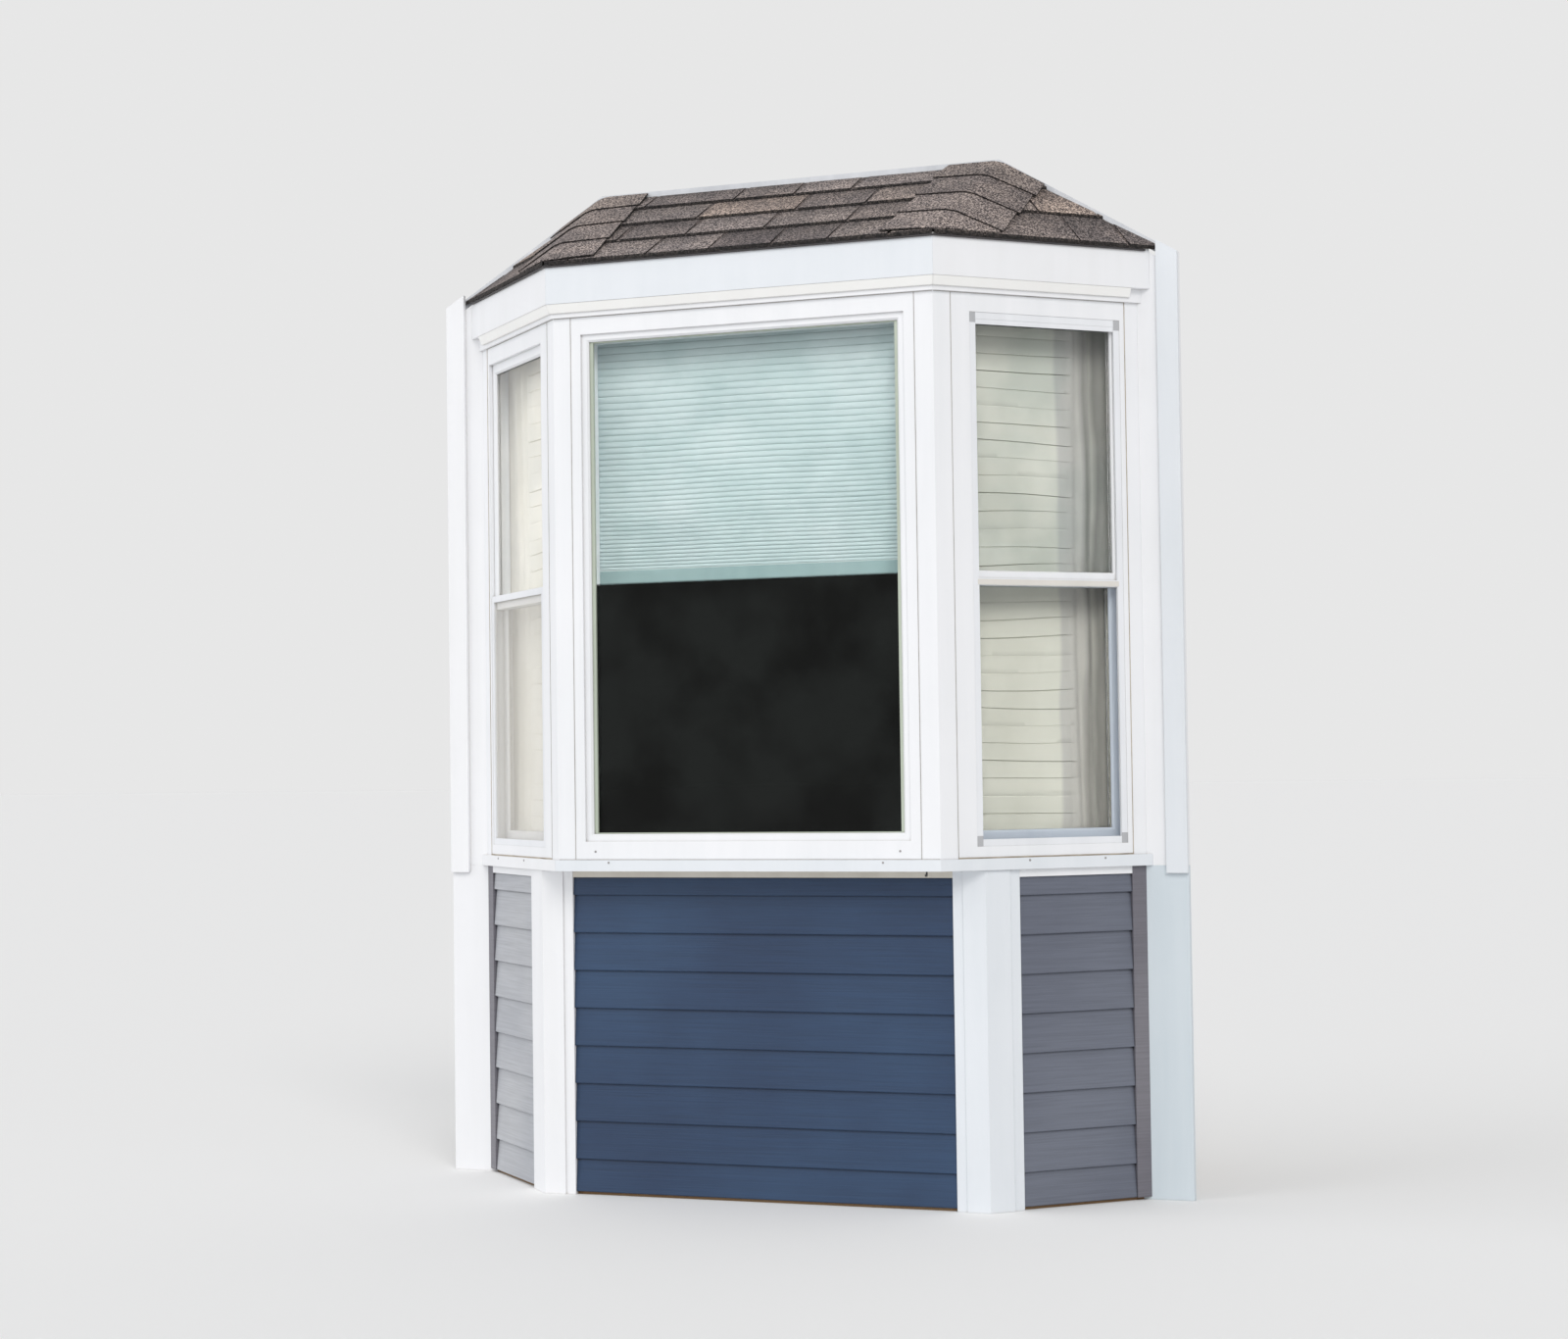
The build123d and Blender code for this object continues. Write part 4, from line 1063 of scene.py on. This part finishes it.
sill_far = (flank_end, DIRTY_IN, seat_top + SILL_TALL)
sill_bead = bead(FLANK, (POST_FACE, -SILL_PROUD, seat_top), sill_far, SILL_STRAY)
end_near = (flank_end - BEAD_WIDE, -END_PROUD, seat_top)
end_bead = bead(FLANK, end_near, (flank_end, DIRTY_IN, window_top), END_STRAY)
both_sides([sill_bead, end_bead], "dirty_beads", "sealant_dirty", "white_trim")

# %% Nails
NAIL_RADIUS = 0.0030
NAIL_PROUD = 0.0012
BAND_OUT = 0.012
BAND_DOWN = 0.007
SILL_UP = 0.022
band_line = seat_top - BAND_DOWN
sill_line = seat_top + SILL_UP
smooth_finish("nail", (168, 166, 166), (128, 124, 122), 0.45, 0.0005)


def nail(face, along, height, out):
    """A flat nail head with a softened rim, driven into a face."""
    bpy.ops.mesh.primitive_cylinder_add(vertices=12, radius=NAIL_RADIUS, depth=2 * NAIL_PROUD,
                                        location=(along, -out, height), rotation=(math.radians(90), 0, 0))
    head = bpy.context.object
    bpy.ops.object.transform_apply()
    soften(head, NAIL_PROUD / 2, 2)
    head.data.transform(face)
    return head


nails = [
    nail(FRONT, 0.385, band_line, BAND_OUT),
    nail(FRONT, 0.428, sill_line, 0.0),
    nail(FLANK, 0.252, band_line, BAND_OUT),
    nail(FLANK, 0.477, band_line, BAND_OUT),
]
both_sides(nails, "nail_heads", "nail", "white_trim")

# %% [markdown]
# ## The storm frame's corner keys and strips
# The full-height frame over the right flanker has small grey corner keys. They could be painted on, but thin
# plates with softened edges, just proud of the frame, catch the light. The frame's head is taller than its
# other rails, so a strip with rounded edges is added below it, and a beige strip crosses the frame at the
# meeting rails: painted shade, where the lower sash's top rail lies in shadow.

# %% Corner keys
KEY_WIDE = 0.018
KEY_TALL = 0.027
KEY_PROUD = 0.0010
KEY_IN = 0.001
STORM_INSIDE = 0.0015
storm_low, storm_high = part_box("right_screen")
smooth_finish("corner_key", (186, 187, 190), (168, 169, 173), 0.5, 0.0008)
keys = []
for left in (SCREEN_START, SCREEN_END - KEY_WIDE):
    for low in (storm_low[2], storm_high[2] - KEY_TALL):
        near = (left, STORM_INSIDE - KEY_PROUD, low)
        far = (left + KEY_WIDE, STORM_INSIDE + KEY_IN, low + KEY_TALL)
        key = soft_box("key", near, far, KEY_PROUD / 3, 1, KEY_PROUD / 4)
        key.data.transform(FLANK)
        keys.append(key)
dressed(joined(keys, "storm_corner_keys"), "corner_key", "screen_frame")

# %% Strips across the storm frame
HEAD_STRIP = 0.013
HEAD_STRIP_DEEP = 0.006
MIDDLE_STRIP = 0.014
MIDDLE_LAP = 0.004
MIDDLE_UP = 0.001
strip_top = storm_high[2] - SCREEN_RAIL
middle_low = meeting_low + MIDDLE_UP
# Beige strip: painted shade where the lower sash's top rail lies in shadow.
smooth_finish("strip_painted_shade", (226, 222, 216), (214, 210, 203), 0.4, 0.001)


def storm_strip(name, lap, depths, heights, edge, finish):
    """A strip with rounded edges between the storm frame's uprights, lapped over them."""
    corners = ((net_left - lap, depths[0], heights[0]), (net_right + lap, depths[1], heights[1]))
    strip = soft_box(name, *corners, edge)
    strip.data.transform(FLANK)
    dressed(strip, finish, "screen_frame")


storm_strip("storm_head_strip", 0.0, (STORM_INSIDE, STORM_INSIDE + HEAD_STRIP_DEEP),
            (strip_top - HEAD_STRIP, strip_top), 0.0008, "screen_frame")
storm_strip("storm_middle_strip", MIDDLE_LAP, (STORM_INSIDE - KEY_PROUD, STORM_INSIDE + KEY_IN),
            (middle_low, middle_low + MIDDLE_STRIP), 0.0006, "strip_painted_shade")

# %% [markdown]
# ## Gasket and hook
# A soft grey-green gasket closes the joint between the picture pane and its frame: four slim strips with
# rounded edges in front of the glass. Under the seat band hangs a small black hook. A curve with a thickness
# would do, but here a long box is cut into short lengths and its points are moved onto a bend, as wire is
# bent round a peg.

# %% Gasket
GASKET_SIDE = 0.010
GASKET_LEVEL = 0.003
GASKET_DEEP = 0.008
GASKET_PRESS = 0.0002
GASKET_EDGE = 0.0008
(left, near, low), (right, _, high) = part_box("centre_glass")
inner_left, inner_right = left + GASKET_SIDE, right - GASKET_SIDE
gasket_spans = (
    (left, inner_left, low, high),
    (inner_right, right, low, high),
    (inner_left, inner_right, low, low + GASKET_LEVEL),
    (inner_left, inner_right, high - GASKET_LEVEL, high),
)
smooth_finish("gasket", (190, 199, 184), (174, 183, 168), 0.55, 0.0005)
gaskets = []
for start, end, foot, head in gasket_spans:
    corners = ((start, near - GASKET_DEEP, foot), (end, near + GASKET_PRESS, head))
    gaskets.append(soft_box("gasket", *corners, GASKET_EDGE))
dressed(joined(gaskets, "picture_gasket"), "gasket", "white_frame")

# %% Hook
HOOK_HALF = 0.0020
HOOK_STRAIGHT = 0.008
HOOK_BEND = 0.0042
HOOK_LONG = HOOK_STRAIGHT + math.pi * HOOK_BEND
HOOK_ALONG = 0.499
HOOK_OUT = 0.002
HOOK_IN = 0.001
band_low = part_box("seat_band_front")[0][2]
smooth_finish("hook", (38, 37, 38), (54, 50, 48), 0.5, 0.0005)
hook = start_box("seat_hook", (-HOOK_HALF, -HOOK_HALF, 0), (HOOK_HALF, HOOK_HALF, HOOK_LONG))
edit_all(hook, bpy.ops.mesh.subdivide, number_cuts=9)
for vertex in hook.data.vertices:
    x, y, down = vertex.co
    turn = max(0.0, down - HOOK_STRAIGHT) / HOOK_BEND
    arm = HOOK_BEND + y
    out = HOOK_BEND - arm * math.cos(turn)
    drop = min(down, HOOK_STRAIGHT) + arm * math.sin(turn)
    vertex.co = (HOOK_ALONG + x, front_y - HOOK_OUT - out, band_low + HOOK_IN - drop)
hook.data.flip_normals()
soften(hook, HOOK_HALF * 0.4)
dressed(hook, "hook", "white_trim")

# %% [markdown]
# ## Drip edge and bed moulding
# Under the lowest shingles a thin metal strip throws the water clear. Below the fascia its metal slopes back
# to the frieze, which reads as a soft shaded band. Both could be swept along a path, but a mitre is cleaner:
# a strip is made longer than its face and cut off by the upright plane that halves the corner.

# %% Mitred strips
STRIP_EDGE = 0.0008
LONG_END = 1.0
SHORT_END = 0.1
WALL_GAP = 0.001
mitre_out = Vector((math.cos(FLANK_TURN / 2), math.sin(FLANK_TURN / 2), 0))
fold_foot = Vector((fold_x, front_y, 0))


def sloped_box(name, low, high, push):
    """A box whose lower outer edge is pushed in by `push`."""
    piece = start_box(name, low, high)
    for vertex in piece.data.vertices:
        if vertex.co.y < (low[1] + high[1]) / 2 and vertex.co.z < (low[2] + high[2]) / 2:
            vertex.co.y += push
    return piece


def mitred_strip(name, inner, outer, low, high, end, finish, slot, push=0.0):
    """A strip `inner` to `outer` proud round the three faces, as a front piece and two sides."""
    front = sloped_box("front_" + name, (-LONG_END, -outer, low), (LONG_END, -inner, high), push)
    front.data.transform(FRONT)
    trim(front, [(fold_foot, mitre_out), (MIRROR @ fold_foot, MIRROR @ mitre_out)])
    side = sloped_box("right_" + name, (-SHORT_END, -outer, low), (end, -inner, high), push)
    side.data.transform(FLANK)
    trim(side, [(fold_foot, -mitre_out), (BACK * (wall_y - WALL_GAP), BACK)])
    for piece in (front, side):
        soften(piece, STRIP_EDGE)
    for piece in (front, side, mirrored(side, "left_" + name)):
        dressed(piece, finish, slot)


# %% Drip edge and mould in place
DRIP_FROM = 0.0255
DRIP_OUT = 0.0310
DRIP_LOW = 0.0055
DRIP_HIGH = 0.0003
DRIP_END = 0.62
BOARD_DEPTH = 0.019
MOULD_FROM = 0.0075
MOULD_OUT = 0.0245
MOULD_TALL = 0.024
MOULD_PUSH = 0.011
MOULD_SHORT = 0.03
siding_finish("drip_metal", (66, 62, 64), (50, 47, 50), 0.5)
smooth_finish("bed_mould", (252, 252, 250), (248, 247, 245), 0.42, 0.002, 0.003)
mitred_strip("drip_edge", DRIP_FROM, DRIP_OUT, eave_z - DRIP_LOW, eave_z - DRIP_HIGH, DRIP_END,
             "drip_metal", "shingle_brown")
fascia_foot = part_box("fascia_front")[0][2]
mould_end = (wall_y - BOARD_DEPTH - front_y) / math.sin(FLANK_TURN) - MOULD_SHORT
mitred_strip("bed_mould", MOULD_FROM, MOULD_OUT, fascia_foot - MOULD_TALL, fascia_foot, mould_end,
             "bed_mould", "white_trim", MOULD_PUSH)

# %% [markdown]
# ## Finishes of the plain nodes
# Every node that isn't replaced keeps its CAD shape and takes the finish of its slot. That alone would be too
# even, because light and weather differ from side to side. So the panes have tints of their own, the siding
# is painted warmer grey on the right, as warm light, and nearly white on the left, as the low sun's glare, and
# some boards, bands, a sash and a channel are painted cooler or duller, as painted shade.

# %% Give every CAD node its finish
# Painted shade: cooler and duller whites for boards, bands, trim, the lower sash and the channel under the
# seat.
smooth_finish("board_painted_skylight", (214, 223, 229), (204, 215, 222), 0.42, 0.003, 0.0012)
smooth_finish("shaded_channel", (220, 215, 204), (204, 198, 186), 0.45, 0.002, 0.001)
smooth_finish("trim_painted_skylight", (230, 234, 239), (223, 228, 233), 0.42, 0.003, 0.0012)
smooth_finish("shaded_vinyl", (203, 212, 223), (192, 202, 214), 0.32, 0.001, 0.001)
# Painted light: warm light and glare on the siding, and painted shade on the cooler or duller whites.
own_finish = {
    "centre_glass": "picture_glass",
    "left_glass": "sunlit_glass",
    "fascia_front": "trim_painted_skylight",
    "seat_band_front": "trim_painted_skylight",
    "right_seat_band": "trim_painted_skylight",
    "right_base_corner_post": "trim_painted_skylight",
    "right_casing_strip": "trim_painted_skylight",
    "right_lower_sash": "shaded_vinyl",
    "right_siding": "siding_painted_warm_light",
    "left_siding": "siding_painted_glare",
    "right_base_board": "board_painted_skylight",
    "channel_front": "shaded_channel",
}
for entry in frame["record"]["subparts"]:
    painted(nodes[entry["node"]], own_finish.get(entry["node"], entry["material_slot"]))
